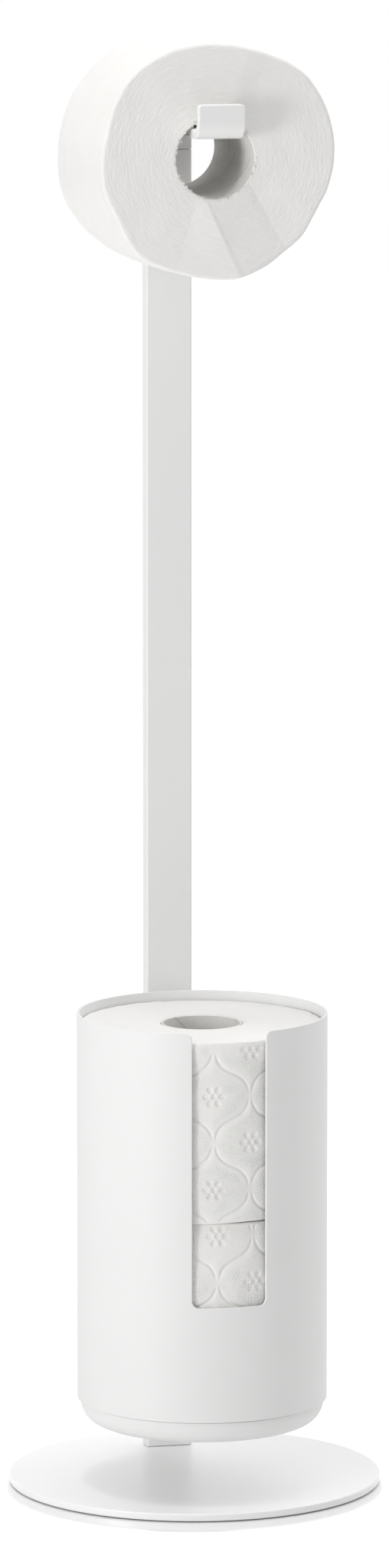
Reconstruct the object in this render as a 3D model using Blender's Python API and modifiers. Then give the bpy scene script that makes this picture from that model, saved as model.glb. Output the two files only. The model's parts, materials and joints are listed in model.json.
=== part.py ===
"""Free-standing toilet roll holder with a canister for two spare rolls.

Lengths are in metres and +Z is up. The origin is the middle of the base, on the floor.
The arm's lip and the canister's slot face -Y, and the mast stands behind the canister.
"""
import math

import bmesh
import bpy
from mathutils import Matrix

# Fits that all pieces share
TOUCH_GAP = 0.0003
THREAD_FIT = 0.0003
CUT_OVERRUN = 0.002
WELD_DISTANCE = 0.00001

# Base plate and pad
PLATE_RADIUS = 0.100
PLATE_THICKNESS = 0.004
PLATE_TOP_ROUND = 0.0013
PLATE_FOOT_ROUND = 0.0005
PAD_EDGE_MARGIN = 0.004
PAD_THICKNESS = 0.0010
PAD_PROUD = 0.0005
PAD_SIDE_FIT = 0.0005

# Mast
MAST_WIDTH = 0.025
MAST_DEPTH = 0.011
MAST_WALL = 0.0015
MAST_CORNER = 0.0010
MAST_LENGTH = 0.7085
MAST_FIT = 0.0003
FOOT_PLUG_LENGTH = 0.025

# Base screws, M4 countersunk
BASE_SCREW_RADIUS = 0.0020
BASE_SCREW_HEAD_RADIUS = 0.0040
BASE_SCREW_LENGTH = 0.016
BASE_SCREW_SINK = 0.0001
BASE_SCREW_PLACE_SHARE = 0.28

# Arm with its root block, tenon and lip
ARM_THICKNESS = 0.005
ARM_ROOT_RISE = 0.0060
ARM_ROOT_BEND = 0.0078
ARM_BACK_BEND = 0.0120
ARM_EDGE_ROUND = 0.0006
LIP_RISE = 0.0135
LIP_BEND = 0.0055
LIP_CORNER = 0.0022
TENON_LENGTH = 0.045

# Screws behind the arm's tenon, M4 button head
HOOK_SCREW_RADIUS = 0.0020
HOOK_SCREW_HEAD_RADIUS = 0.0038
HOOK_SCREW_HEAD_HEIGHT = 0.0022
HOOK_SCREW_GRIP = 0.0050
HOOK_SCREW_PLACE_SHARES = (("upper", 0.28), ("lower", 0.72))

# Cardboard cores
CORE_BORE_RADIUS = 0.0206
CORE_WALL = 0.0008
CORE_END_SETBACK = 0.0003

# Hanging roll
HANG_RADIUS = 0.0625
HANG_LENGTH = 0.096
HANG_FRONT_ROOM = 0.0117
HANG_BACK_ROOM = 0.0115
HANG_DISH = 0.0060
HANG_EDGE_ROUND = 0.0045
HANG_BORE_ROUND = 0.0010
HANG_CROWN = 0.0010
# Squash of the outline: waves round the rim, height share of the radius, crest in degrees
HANG_SQUASH_SHARES = ((1, 0.0165, -33.0), (2, 0.011, 40.0), (3, 0.018, 49.0), (4, 0.0135, 134.0))
# The outer winds lean to one side and down towards the back, as shares of the radius
HANG_LEAN_SHARES = (-0.028, -0.012)
HANG_DISH_SHARE = 0.55

# Spare rolls
SPARE_RADIUS = 0.0622
SPARE_HEIGHT = 0.0972
SPARE_EDGE_ROUND = 0.0024
SPARE_BORE_ROUND = 0.0010
SPARE_PLAY = 0.0006
SPARE_LEAN_SHARE = -0.5

# Screws inside the canister, M5 pan head
CAN_SCREW_RADIUS = 0.0025
CAN_SCREW_HEAD_RADIUS = 0.00475
CAN_SCREW_HEAD_HEIGHT = 0.0022
CAN_SCREW_SEAT = 0.0005
CAN_SCREW_GRIP = 0.0050
CAN_SCREW_PLACE_SHARES = (("upper", 0.78), ("lower", 0.20))

# Canister
CAN_CENTRE_Y = -0.018
CAN_WALL = 0.0015
CAN_ABOVE_BASE = 0.0325
CAN_RIM_ABOVE_ROLL = 0.0055
CAP_WALL = 0.0012
CAP_SHOW = 0.013
CAP_SPIGOT = 0.007
CAP_CORNER_SHARE = 0.95
FLOOR_THICKNESS = 0.0015
FLOOR_SIDE_FIT = 0.0005
SLOT_WIDTH = 0.0406
SLOT_SILL = 0.0532
SLOT_CORNER = 0.0038
SLOT_MOUTH_ROUND = 0.0035

# Bushes and rivet nuts between canister and mast
SPACER_LENGTH = 0.011
SPACER_RADIUS = 0.0075
NUT_FLANGE_RADIUS = 0.0050
NUT_FLANGE_THICKNESS = 0.0008
NUT_BODY_RADIUS = 0.00375
NUT_END_ROOM = 0.0010

# Hex sockets, as shares of the shank's radius and of a button head's height
SOCKET_SHARE = 0.7
SOCKET_DEPTH_SHARE = 0.6
SOCKET_FLOOR_SHARE = 0.35

# Turns that lay a piece's own Z axis along the world's -Y or +Y
TO_FRONT = (math.radians(90.0), 0.0, 0.0)
TO_BACK = (math.radians(-90.0), 0.0, 0.0)

# Facets
PLATE_STEPS = 112
CAN_STEPS = 112
CAP_STEPS = 80
ROLL_STEPS = 72
HANG_STEPS = 88
CORE_STEPS = 48
SCREW_STEPS = 20
ROUND_STEPS = 3
BEND_STEPS = 7
CAP_INSIDE_STEPS = 3
CAP_OUTSIDE_STEPS = 6
SPARE_EDGE_STEPS = 3
FOOT_ROUND_STEPS = 2
EDGE_SEGMENTS = 2
SOCKET_SIDES = 6
SHARP_ANGLE = math.radians(35.0)

# Heights that follow from the sizes above
PLATE_BOTTOM = PAD_PROUD
PLATE_TOP = PLATE_BOTTOM + PLATE_THICKNESS
RECESS_TOP = PAD_THICKNESS + TOUCH_GAP
MAST_BOTTOM = PLATE_TOP + TOUCH_GAP
MAST_TOP = MAST_BOTTOM + MAST_LENGTH
ROOT_BOTTOM = MAST_TOP + TOUCH_GAP
ARM_UNDERSIDE = ROOT_BOTTOM + ARM_ROOT_RISE + ARM_ROOT_BEND
ARM_TOP = ARM_UNDERSIDE + ARM_THICKNESS
CAP_BOTTOM = PLATE_TOP + CAN_ABOVE_BASE
CAN_FOOT = CAP_BOTTOM + CAP_SHOW
CAP_TOP = CAN_FOOT + CAP_SPIGOT
FLOOR_BOTTOM = CAP_TOP + TOUCH_GAP
FLOOR_TOP = FLOOR_BOTTOM + FLOOR_THICKNESS
LOWER_ROLL_BOTTOM = FLOOR_TOP + TOUCH_GAP
UPPER_ROLL_BOTTOM = LOWER_ROLL_BOTTOM + SPARE_HEIGHT + TOUCH_GAP
CAN_RIM = UPPER_ROLL_BOTTOM + SPARE_HEIGHT + CAN_RIM_ABOVE_ROLL
SLOT_BOTTOM = FLOOR_TOP + SLOT_SILL

# Radii and places that follow from the sizes above
PAD_RADIUS = PLATE_RADIUS - PAD_EDGE_MARGIN
CAN_SCREW_ROOM = CAN_SCREW_HEAD_HEIGHT + CAN_SCREW_SEAT
# A spare roll stands clear of the screw heads inside the canister
CAN_BORE_RADIUS = SPARE_RADIUS + SPARE_PLAY + CAN_SCREW_ROOM
CAN_RADIUS = CAN_BORE_RADIUS + CAN_WALL
CAP_RADIUS = CAN_BORE_RADIUS - TOUCH_GAP
FLOOR_RADIUS = CAN_BORE_RADIUS - FLOOR_SIDE_FIT
MAST_FRONT = CAN_CENTRE_Y + CAN_RADIUS + SPACER_LENGTH
MAST_BACK = MAST_FRONT + MAST_DEPTH
MAST_CENTRE_Y = (MAST_FRONT + MAST_BACK) / 2
PLUG_WIDTH = MAST_WIDTH - 2 * (MAST_WALL + MAST_FIT)
PLUG_DEPTH = MAST_DEPTH - 2 * (MAST_WALL + MAST_FIT)
HANG_BACK = MAST_FRONT - HANG_BACK_ROOM
HANG_FRONT = HANG_BACK - HANG_LENGTH
LIP_INNER = HANG_FRONT - HANG_FRONT_ROOM
LIP_FRONT = LIP_INNER - ARM_THICKNESS
LIP_TOP = ARM_TOP + LIP_RISE
CORE_RADIUS = CORE_BORE_RADIUS + CORE_WALL
PAPER_BORE_RADIUS = CORE_RADIUS + TOUCH_GAP
# The bore hangs on the two upper edges of the flat arm
ROLL_AXIS_Z = ARM_TOP - math.sqrt((CORE_BORE_RADIUS - TOUCH_GAP) ** 2 - (MAST_WIDTH / 2) ** 2)
SPARE_CENTRE_X = SPARE_PLAY * SPARE_LEAN_SHARE

# Colours, roughness and metallic values
POWDER_WHITE = ((0.84, 0.84, 0.84), 0.55, 0.0)
PAD_GREY = ((0.12, 0.12, 0.12), 0.9, 0.0)
SCREW_STEEL = ((0.62, 0.62, 0.64), 0.35, 1.0)
NUT_STEEL = ((0.70, 0.68, 0.60), 0.4, 1.0)
SPACER_WHITE = ((0.80, 0.80, 0.80), 0.6, 0.0)
SOFT_PAPER = ((0.90, 0.89, 0.87), 0.95, 0.0)
EMBOSSED_PAPER = ((0.89, 0.88, 0.86), 0.95, 0.0)
GREY_CARDBOARD = ((0.58, 0.57, 0.55), 0.9, 0.0)


def clear_scene():
    """Removes the objects the scene opened with."""
    for obj in list(bpy.data.objects):
        bpy.data.objects.remove(obj)


def new_collection(name):
    """Links a new collection to the scene."""
    collection = bpy.data.collections.new(name)
    bpy.context.scene.collection.children.link(collection)
    return collection


def dress(obj, finish):
    """Gives an object its own Principled material."""
    colour, roughness, metallic = finish
    material = bpy.data.materials.new(obj.name + "_finish")
    material.use_nodes = True
    shader = material.node_tree.nodes["Principled BSDF"]
    shader.inputs["Base Color"].default_value = (*colour, 1.0)
    shader.inputs["Roughness"].default_value = roughness
    shader.inputs["Metallic"].default_value = metallic
    obj.data.materials.clear()
    obj.data.materials.append(material)


def smooth(mesh):
    """Shades a round mesh smooth and keeps its real corners sharp."""
    mesh.shade_smooth()
    mesh.set_sharp_from_angle(angle=SHARP_ANGLE)


def empty(name, place, turn=(0.0, 0.0, 0.0)):
    """Adds an empty that carries the pieces of one body or sub-assembly."""
    obj = bpy.data.objects.new(name, None)
    obj.location = place
    obj.rotation_euler = turn
    PARTS.objects.link(obj)
    return obj


def settle(obj, name, collection):
    """Swaps an object for a plain mesh object of its evaluated shape."""
    bpy.context.view_layer.update()
    shape = obj.evaluated_get(bpy.context.evaluated_depsgraph_get())
    mesh = bpy.data.meshes.new_from_object(shape)
    bm = bmesh.new()
    bm.from_mesh(mesh)
    bmesh.ops.remove_doubles(bm, verts=bm.verts[:], dist=WELD_DISTANCE)
    bm.to_mesh(mesh)
    bm.free()
    mesh.materials.clear()
    result = bpy.data.objects.new(name, mesh)
    result.matrix_world = obj.matrix_world.copy()
    collection.objects.link(result)
    bpy.data.objects.remove(obj)
    return result


def arc(centre_r, centre_z, radius, start, end, steps=ROUND_STEPS):
    """Points of an arc in a profile, from one angle to another in degrees."""
    points = []
    for i in range(steps + 1):
        angle = math.radians(start + (end - start) * i / steps)
        points.append((centre_r + radius * math.cos(angle), centre_z + radius * math.sin(angle)))
    return points


def turned(name, profile, steps, closed, collection=None):
    """Turns a profile about the Z axis with a Screw modifier.

    The profile is a list of (radius, height) that runs down the outer side. A closed one
    makes a ring, and an open one starts and ends on the axis.
    """
    home = collection or PARTS
    mesh = bpy.data.meshes.new(name + "_profile")
    edges = [(i, i + 1) for i in range(len(profile) - 1)]
    if closed:
        edges.append((len(profile) - 1, 0))
    mesh.from_pydata([(radius, 0.0, height) for radius, height in profile], edges, [])
    obj = bpy.data.objects.new(name + "_profile", mesh)
    home.objects.link(obj)
    screw = obj.modifiers.new("Turn", "SCREW")
    screw.axis = "Z"
    screw.steps = steps
    screw.render_steps = steps
    screw.use_merge_vertices = True
    screw.merge_threshold = WELD_DISTANCE
    result = settle(obj, name, home)
    smooth(result.data)
    return result


def cylinder(name, radius, bottom, top, sides, collection):
    """Adds a capped cylinder that runs along Z from bottom to top."""
    bm = bmesh.new()
    bmesh.ops.create_cone(
        bm, cap_ends=True, segments=sides, radius1=radius, radius2=radius, depth=top - bottom
    )
    bmesh.ops.translate(bm, verts=bm.verts[:], vec=(0.0, 0.0, (bottom + top) / 2))
    mesh = bpy.data.meshes.new(name)
    bm.to_mesh(mesh)
    bm.free()
    obj = bpy.data.objects.new(name, mesh)
    collection.objects.link(obj)
    return obj


def block(name, width, depth, bottom, top, corner, collection):
    """Adds an upright bar with rounded long edges, centred on the Z axis."""
    bm = bmesh.new()
    bmesh.ops.create_cube(bm, size=1.0)
    bmesh.ops.scale(bm, verts=bm.verts[:], vec=(width, depth, top - bottom))
    bmesh.ops.translate(bm, verts=bm.verts[:], vec=(0.0, 0.0, (bottom + top) / 2))
    if corner:
        upright = [e for e in bm.edges if abs(e.verts[0].co.z - e.verts[1].co.z) > WELD_DISTANCE]
        bmesh.ops.bevel(
            bm, geom=upright, offset=corner, segments=ROUND_STEPS, profile=0.5, affect="EDGES"
        )
    mesh = bpy.data.meshes.new(name)
    bm.to_mesh(mesh)
    bm.free()
    obj = bpy.data.objects.new(name, mesh)
    collection.objects.link(obj)
    return obj


def outline_plate(name, points, thickness, collection):
    """Makes a flat plate from a closed outline of (x, y) points, centred on its plane."""
    curve = bpy.data.curves.new(name + "_outline", "CURVE")
    curve.dimensions = "2D"
    curve.fill_mode = "BOTH"
    curve.extrude = thickness / 2
    spline = curve.splines.new("POLY")
    spline.points.add(len(points) - 1)
    for point, (x, y) in zip(spline.points, points):
        point.co = (x, y, 0.0, 1.0)
    spline.use_cyclic_u = True
    obj = bpy.data.objects.new(name + "_outline", curve)
    collection.objects.link(obj)
    return settle(obj, name, collection)


def modify(obj, operation, tool):
    """Adds an exact Boolean of another object, which is kept out of the model."""
    boolean = obj.modifiers.new(tool.name, "BOOLEAN")
    boolean.operation = operation
    boolean.solver = "EXACT"
    boolean.object = tool
    tool.hide_render = True
    tool.display_type = "WIRE"


def cut(obj, tool):
    """Cuts a tool's shape out of an object."""
    modify(obj, "DIFFERENCE", tool)


def place(obj, location, turn=(0.0, 0.0, 0.0)):
    """Sets an object's own location and rotation."""
    obj.location = location
    obj.rotation_euler = turn


def add_base_plate():
    """Round plate with a rounded edge, a recess for the pad and two countersunk holes."""
    top_arc = arc(
        PLATE_RADIUS - PLATE_TOP_ROUND, PLATE_TOP - PLATE_TOP_ROUND, PLATE_TOP_ROUND, 90.0, 0.0
    )
    foot_arc = arc(
        PLATE_RADIUS - PLATE_FOOT_ROUND, PLATE_BOTTOM + PLATE_FOOT_ROUND, PLATE_FOOT_ROUND, 0.0,
        -90.0, FOOT_ROUND_STEPS,
    )
    recess = PAD_RADIUS + PAD_SIDE_FIT
    profile = [(0.0, PLATE_TOP)] + top_arc + foot_arc
    profile += [(recess, PLATE_BOTTOM), (recess, RECESS_TOP), (0.0, RECESS_TOP)]
    plate = turned("base_plate", profile, PLATE_STEPS, closed=False)
    for side, name in ((-1, "left"), (1, "right")):
        tool = turned(
            "base_screw_hole_" + name, countersink_profile(THREAD_FIT), SCREW_STEPS, False, CUTTERS
        )
        place(tool, (side * BASE_SCREW_PLACE_SHARE * PLUG_WIDTH, MAST_CENTRE_Y, 0.0))
        cut(plate, tool)
    dress(plate, POWDER_WHITE)


def countersink_profile(clearance):
    """Profile of the hole that a countersunk screw leaves, from above the plate downwards."""
    shank = BASE_SCREW_RADIUS + clearance
    head = BASE_SCREW_HEAD_RADIUS + clearance
    cone_top = RECESS_TOP + head - shank
    return [
        (0.0, PLATE_TOP + CUT_OVERRUN),
        (shank, PLATE_TOP + CUT_OVERRUN),
        (shank, cone_top),
        (head, RECESS_TOP),
        (head, RECESS_TOP - CUT_OVERRUN),
        (0.0, RECESS_TOP - CUT_OVERRUN),
    ]


def add_base_pad():
    """Non-slip disc that stands a little proud of the plate."""
    profile = [(0.0, PAD_THICKNESS), (PAD_RADIUS, PAD_THICKNESS), (PAD_RADIUS, 0.0), (0.0, 0.0)]
    pad = turned("base_pad", profile, PLATE_STEPS, closed=False)
    dress(pad, PAD_GREY)


def add_base_screws():
    """Two countersunk screws up through the plate into the foot plug."""
    seat = RECESS_TOP + BASE_SCREW_SINK
    cone_top = seat + BASE_SCREW_HEAD_RADIUS - BASE_SCREW_RADIUS
    profile = [
        (0.0, seat + BASE_SCREW_LENGTH),
        (BASE_SCREW_RADIUS, seat + BASE_SCREW_LENGTH),
        (BASE_SCREW_RADIUS, cone_top),
        (BASE_SCREW_HEAD_RADIUS, seat),
        (0.0, seat),
    ]
    for side, name in ((-1, "left"), (1, "right")):
        screw = turned("base_screw_" + name, profile, SCREW_STEPS, closed=False)
        place(screw, (side * BASE_SCREW_PLACE_SHARE * PLUG_WIDTH, MAST_CENTRE_Y, 0.0))
        socket = cylinder(
            "base_screw_socket_" + name,
            BASE_SCREW_RADIUS * SOCKET_SHARE,
            seat - CUT_OVERRUN,
            seat + BASE_SCREW_RADIUS * SOCKET_DEPTH_SHARE,
            SOCKET_SIDES,
            CUTTERS,
        )
        place(socket, screw.location)
        cut(screw, socket)
        dress(screw, SCREW_STEEL)


def add_mast_tube():
    """Rectangular tube with holes for the rivet nuts in front and the arm's screws behind."""
    tube = block("mast_tube", MAST_WIDTH, MAST_DEPTH, MAST_BOTTOM, MAST_TOP, MAST_CORNER, PARTS)
    place(tube, (0.0, MAST_CENTRE_Y, 0.0))
    hollow = block(
        "mast_hollow",
        MAST_WIDTH - 2 * MAST_WALL,
        MAST_DEPTH - 2 * MAST_WALL,
        MAST_BOTTOM - CUT_OVERRUN,
        MAST_TOP + CUT_OVERRUN,
        0.0,
        CUTTERS,
    )
    place(hollow, tube.location)
    cut(tube, hollow)
    for name, height in can_screw_heights():
        hole = cylinder(
            "rivet_nut_hole_" + name,
            NUT_BODY_RADIUS + TOUCH_GAP,
            -CUT_OVERRUN,
            MAST_WALL + CUT_OVERRUN,
            SCREW_STEPS,
            CUTTERS,
        )
        place(hole, (0.0, MAST_FRONT, height), TO_BACK)
        cut(tube, hole)
    for name, height in hook_screw_heights():
        hole = cylinder(
            "hook_screw_hole_" + name,
            HOOK_SCREW_RADIUS + THREAD_FIT,
            -CUT_OVERRUN,
            MAST_WALL + CUT_OVERRUN,
            SCREW_STEPS,
            CUTTERS,
        )
        place(hole, (0.0, MAST_BACK, height), TO_FRONT)
        cut(tube, hole)
    smooth(tube.data)
    dress(tube, POWDER_WHITE)


def add_mast_foot_plug():
    """Solid bar in the mast's foot with a threaded hole for each base screw."""
    plug = block(
        "mast_foot_plug", PLUG_WIDTH, PLUG_DEPTH, MAST_BOTTOM, MAST_BOTTOM + FOOT_PLUG_LENGTH,
        0.0, PARTS,
    )
    place(plug, (0.0, MAST_CENTRE_Y, 0.0))
    for side, name in ((-1, "left"), (1, "right")):
        hole = cylinder(
            "plug_hole_" + name,
            BASE_SCREW_RADIUS + THREAD_FIT,
            MAST_BOTTOM - CUT_OVERRUN,
            MAST_BOTTOM + FOOT_PLUG_LENGTH + CUT_OVERRUN,
            SCREW_STEPS,
            CUTTERS,
        )
        place(hole, (side * BASE_SCREW_PLACE_SHARE * PLUG_WIDTH, MAST_CENTRE_Y, 0.0))
        cut(plug, hole)
    dress(plug, SCREW_STEEL)


def hook_screw_heights():
    """Names and heights of the screws behind the arm's tenon."""
    return [(name, MAST_TOP - share * TENON_LENGTH) for name, share in HOOK_SCREW_PLACE_SHARES]


def can_screw_heights():
    """Names and heights of the screws that hold the canister."""
    reach = CAN_RIM - CAN_FOOT
    return [(name, CAN_FOOT + share * reach) for name, share in CAN_SCREW_PLACE_SHARES]


def arm_outline():
    """Side view of the bent strip and its root block, as (y, z) points."""
    root = ROOT_BOTTOM + ARM_ROOT_RISE
    lip_outer = LIP_BEND + ARM_THICKNESS
    lip_centre = LIP_FRONT + lip_outer
    points = [(MAST_FRONT, ROOT_BOTTOM)]
    points += arc(MAST_FRONT - ARM_ROOT_BEND, root, ARM_ROOT_BEND, 0.0, 90.0, BEND_STEPS)
    points += arc(lip_centre, ARM_UNDERSIDE + lip_outer, lip_outer, -90.0, -180.0, BEND_STEPS)
    points += [(LIP_FRONT, LIP_TOP), (LIP_INNER, LIP_TOP)]
    points += arc(lip_centre, ARM_UNDERSIDE + lip_outer, LIP_BEND, 180.0, 270.0, BEND_STEPS)
    points += arc(
        MAST_BACK - ARM_BACK_BEND, ARM_TOP - ARM_BACK_BEND, ARM_BACK_BEND, 90.0, 0.0, BEND_STEPS
    )
    points += [(MAST_BACK, ROOT_BOTTOM)]
    return points


def round_lip_corners(mesh):
    """Rounds the lip's two upper corners, as seen from the front."""
    bm = bmesh.new()
    bm.from_mesh(mesh)
    corners = []
    for edge in bm.edges:
        ends = [vert.co for vert in edge.verts]
        high = all(abs(end.y - LIP_TOP) < WELD_DISTANCE for end in ends)
        outside = all(abs(abs(end.z) - MAST_WIDTH / 2) < WELD_DISTANCE for end in ends)
        if high and outside and abs(ends[0].z - ends[1].z) < WELD_DISTANCE:
            corners.append(edge)
    bmesh.ops.bevel(
        bm, geom=corners, offset=LIP_CORNER, segments=ROUND_STEPS, profile=0.5, affect="EDGES"
    )
    bm.to_mesh(mesh)
    bm.free()


def add_hook_arm():
    """Bent strip with its lip, root block and tenon, in one piece."""
    arm = outline_plate("hook_arm", arm_outline(), MAST_WIDTH, PARTS)
    round_lip_corners(arm.data)
    # The outline's own x lies along world Y and its own y along world Z
    arm.data.transform(Matrix(((0, 0, 1, 0), (1, 0, 0, 0), (0, 1, 0, 0), (0, 0, 0, 1))))
    soften = arm.modifiers.new("Soft edges", "BEVEL")
    soften.width = ARM_EDGE_ROUND
    soften.segments = EDGE_SEGMENTS
    soften.limit_method = "ANGLE"
    soften.angle_limit = SHARP_ANGLE
    tenon = block(
        "hook_tenon", PLUG_WIDTH, PLUG_DEPTH, MAST_TOP - TENON_LENGTH, ROOT_BOTTOM + CUT_OVERRUN,
        0.0, CUTTERS,
    )
    place(tenon, (0.0, MAST_CENTRE_Y, 0.0))
    modify(arm, "UNION", tenon)
    for name, height in hook_screw_heights():
        hole = cylinder(
            "tenon_hole_" + name,
            HOOK_SCREW_RADIUS + THREAD_FIT,
            -MAST_DEPTH,
            MAST_DEPTH,
            SCREW_STEPS,
            CUTTERS,
        )
        place(hole, (0.0, MAST_CENTRE_Y, height), TO_BACK)
        cut(arm, hole)
    smooth(arm.data)
    dress(arm, POWDER_WHITE)


def button_screw(name, radius, head_radius, head_height, length, finish):
    """Button-head screw with a hex socket; its head's underside is at its own Z of 0.

    The head points along +Z, and the shank runs down from it.
    """
    dome = [
        (head_radius * math.sin(angle), head_height * math.cos(angle))
        for angle in (math.radians(step * 90.0 / ROUND_STEPS) for step in range(1, ROUND_STEPS))
    ]
    profile = [(0.0, head_height)] + dome + [(head_radius, 0.0), (radius, 0.0)]
    profile += [(radius, -length), (0.0, -length)]
    screw = turned(name, profile, SCREW_STEPS, closed=False)
    socket = cylinder(
        name + "_socket",
        radius * SOCKET_SHARE,
        head_height * SOCKET_FLOOR_SHARE,
        head_height + CUT_OVERRUN,
        SOCKET_SIDES,
        CUTTERS,
    )
    cut(screw, socket)
    dress(screw, finish)
    return screw, socket


def add_hook_screws():
    """Screws that clamp the tenon to the mast's back wall."""
    length = TOUCH_GAP + MAST_WALL + MAST_FIT + HOOK_SCREW_GRIP
    for name, height in hook_screw_heights():
        pieces = button_screw(
            "hook_screw_" + name, HOOK_SCREW_RADIUS, HOOK_SCREW_HEAD_RADIUS,
            HOOK_SCREW_HEAD_HEIGHT, length, SCREW_STEEL,
        )
        for piece in pieces:
            place(piece, (0.0, MAST_BACK + TOUCH_GAP, height), TO_BACK)


def slot_outline():
    """Front view of the canister's slot, as (x, z) points, rounded at its foot and mouth."""
    half = SLOT_WIDTH / 2
    shoulder = CAN_RIM - SLOT_MOUTH_ROUND
    outer = half + SLOT_MOUTH_ROUND
    foot = SLOT_BOTTOM + SLOT_CORNER
    points = [(-outer, CAN_RIM + CUT_OVERRUN)]
    points += arc(-outer, shoulder, SLOT_MOUTH_ROUND, 90.0, 0.0)
    points += arc(SLOT_CORNER - half, foot, SLOT_CORNER, 180.0, 270.0)
    points += arc(half - SLOT_CORNER, foot, SLOT_CORNER, 270.0, 360.0)
    points += arc(outer, shoulder, SLOT_MOUTH_ROUND, 180.0, 90.0)
    points += [(outer, CAN_RIM + CUT_OVERRUN)]
    return points


def add_canister_shell(axis):
    """Round shell, open above and below, with the slot in front and screw holes behind."""
    profile = [
        (CAN_RADIUS, CAN_RIM),
        (CAN_RADIUS, CAN_FOOT),
        (CAN_BORE_RADIUS, CAN_FOOT),
        (CAN_BORE_RADIUS, CAN_RIM),
    ]
    shell = turned("canister_shell", profile, CAN_STEPS, closed=True)
    shell.parent = axis
    slot = outline_plate("slot_cutter", slot_outline(), CAN_RADIUS, CUTTERS)
    # The plate stands up and reaches from the canister's axis out through its front
    place(slot, (0.0, CAN_CENTRE_Y - CAN_RADIUS, 0.0), TO_FRONT)
    cut(shell, slot)
    for name, height in can_screw_heights():
        hole = cylinder(
            "shell_hole_" + name,
            CAN_SCREW_RADIUS + THREAD_FIT,
            -CAN_WALL - CUT_OVERRUN,
            CUT_OVERRUN,
            SCREW_STEPS,
            CUTTERS,
        )
        place(hole, (0.0, CAN_CENTRE_Y + CAN_RADIUS, height), TO_BACK)
        cut(shell, hole)
    dress(shell, POWDER_WHITE)


def add_canister_cap(axis):
    """Dished cup whose spigot fits inside the shell's lower edge."""
    corner = CAP_SHOW * CAP_CORNER_SHARE
    inner = corner - CAP_WALL
    centre_r = CAP_RADIUS - corner
    centre_z = CAP_BOTTOM + corner
    profile = [(CAP_RADIUS, CAP_TOP)]
    profile += arc(centre_r, centre_z, corner, 0.0, -90.0, CAP_OUTSIDE_STEPS)
    profile += [(0.0, CAP_BOTTOM), (0.0, CAP_BOTTOM + CAP_WALL)]
    profile += arc(centre_r, centre_z, inner, -90.0, 0.0, CAP_INSIDE_STEPS)
    profile += [(CAP_RADIUS - CAP_WALL, CAP_TOP)]
    cap = turned("canister_cap", profile, CAP_STEPS, closed=True)
    cap.parent = axis
    dress(cap, POWDER_WHITE)


def add_canister_floor(axis):
    """Disc on the cup's rim that carries the lower spare roll."""
    profile = [
        (0.0, FLOOR_TOP),
        (FLOOR_RADIUS, FLOOR_TOP),
        (FLOOR_RADIUS, FLOOR_BOTTOM),
        (0.0, FLOOR_BOTTOM),
    ]
    floor = turned("canister_floor", profile, CAP_STEPS, closed=False)
    floor.parent = axis
    dress(floor, POWDER_WHITE)


def add_canister_mounting(name, height):
    """Bush, screw and rivet nut at one of the canister's two fixing heights."""
    flange_room = NUT_FLANGE_THICKNESS + 2 * TOUCH_GAP
    spacer = cylinder(
        "canister_spacer_" + name, SPACER_RADIUS, TOUCH_GAP, SPACER_LENGTH + SPACER_RADIUS,
        SCREW_STEPS, PARTS,
    )
    place(spacer, (0.0, MAST_FRONT, height), TO_FRONT)
    saddle = cylinder(
        "spacer_saddle_" + name, CAN_RADIUS + TOUCH_GAP, height - 2 * SPACER_RADIUS,
        height + 2 * SPACER_RADIUS, CAN_STEPS, CUTTERS,
    )
    place(saddle, (0.0, CAN_CENTRE_Y, 0.0))
    cut(spacer, saddle)
    bore = cylinder(
        "spacer_bore_" + name, CAN_SCREW_RADIUS + THREAD_FIT, -CUT_OVERRUN,
        SPACER_LENGTH + 2 * SPACER_RADIUS, SCREW_STEPS, CUTTERS,
    )
    counterbore = cylinder(
        "spacer_counterbore_" + name, NUT_FLANGE_RADIUS + TOUCH_GAP, -CUT_OVERRUN, flange_room,
        SCREW_STEPS, CUTTERS,
    )
    for tool in (bore, counterbore):
        place(tool, (0.0, MAST_FRONT, height), TO_FRONT)
        cut(spacer, tool)
    smooth(spacer.data)
    dress(spacer, SPACER_WHITE)
    add_rivet_nut(name, height)
    length = CAN_SCREW_SEAT + CAN_WALL + SPACER_LENGTH + CAN_SCREW_GRIP
    pieces = button_screw(
        "canister_screw_" + name, CAN_SCREW_RADIUS, CAN_SCREW_HEAD_RADIUS, CAN_SCREW_HEAD_HEIGHT,
        length, SCREW_STEEL,
    )
    for piece in pieces:
        place(piece, (0.0, CAN_CENTRE_Y + CAN_BORE_RADIUS - CAN_SCREW_SEAT, height), TO_FRONT)


def add_rivet_nut(name, height):
    """Flanged threaded insert in the mast's front wall."""
    bore = CAN_SCREW_RADIUS + THREAD_FIT
    end = MAST_WALL - MAST_DEPTH + NUT_END_ROOM
    profile = [
        (NUT_FLANGE_RADIUS, TOUCH_GAP + NUT_FLANGE_THICKNESS),
        (NUT_FLANGE_RADIUS, TOUCH_GAP),
        (NUT_BODY_RADIUS, TOUCH_GAP),
        (NUT_BODY_RADIUS, end),
        (bore, end),
        (bore, TOUCH_GAP + NUT_FLANGE_THICKNESS),
    ]
    nut = turned("rivet_nut_" + name, profile, SCREW_STEPS, closed=True)
    place(nut, (0.0, MAST_FRONT, height), TO_FRONT)
    dress(nut, NUT_STEEL)


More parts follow.
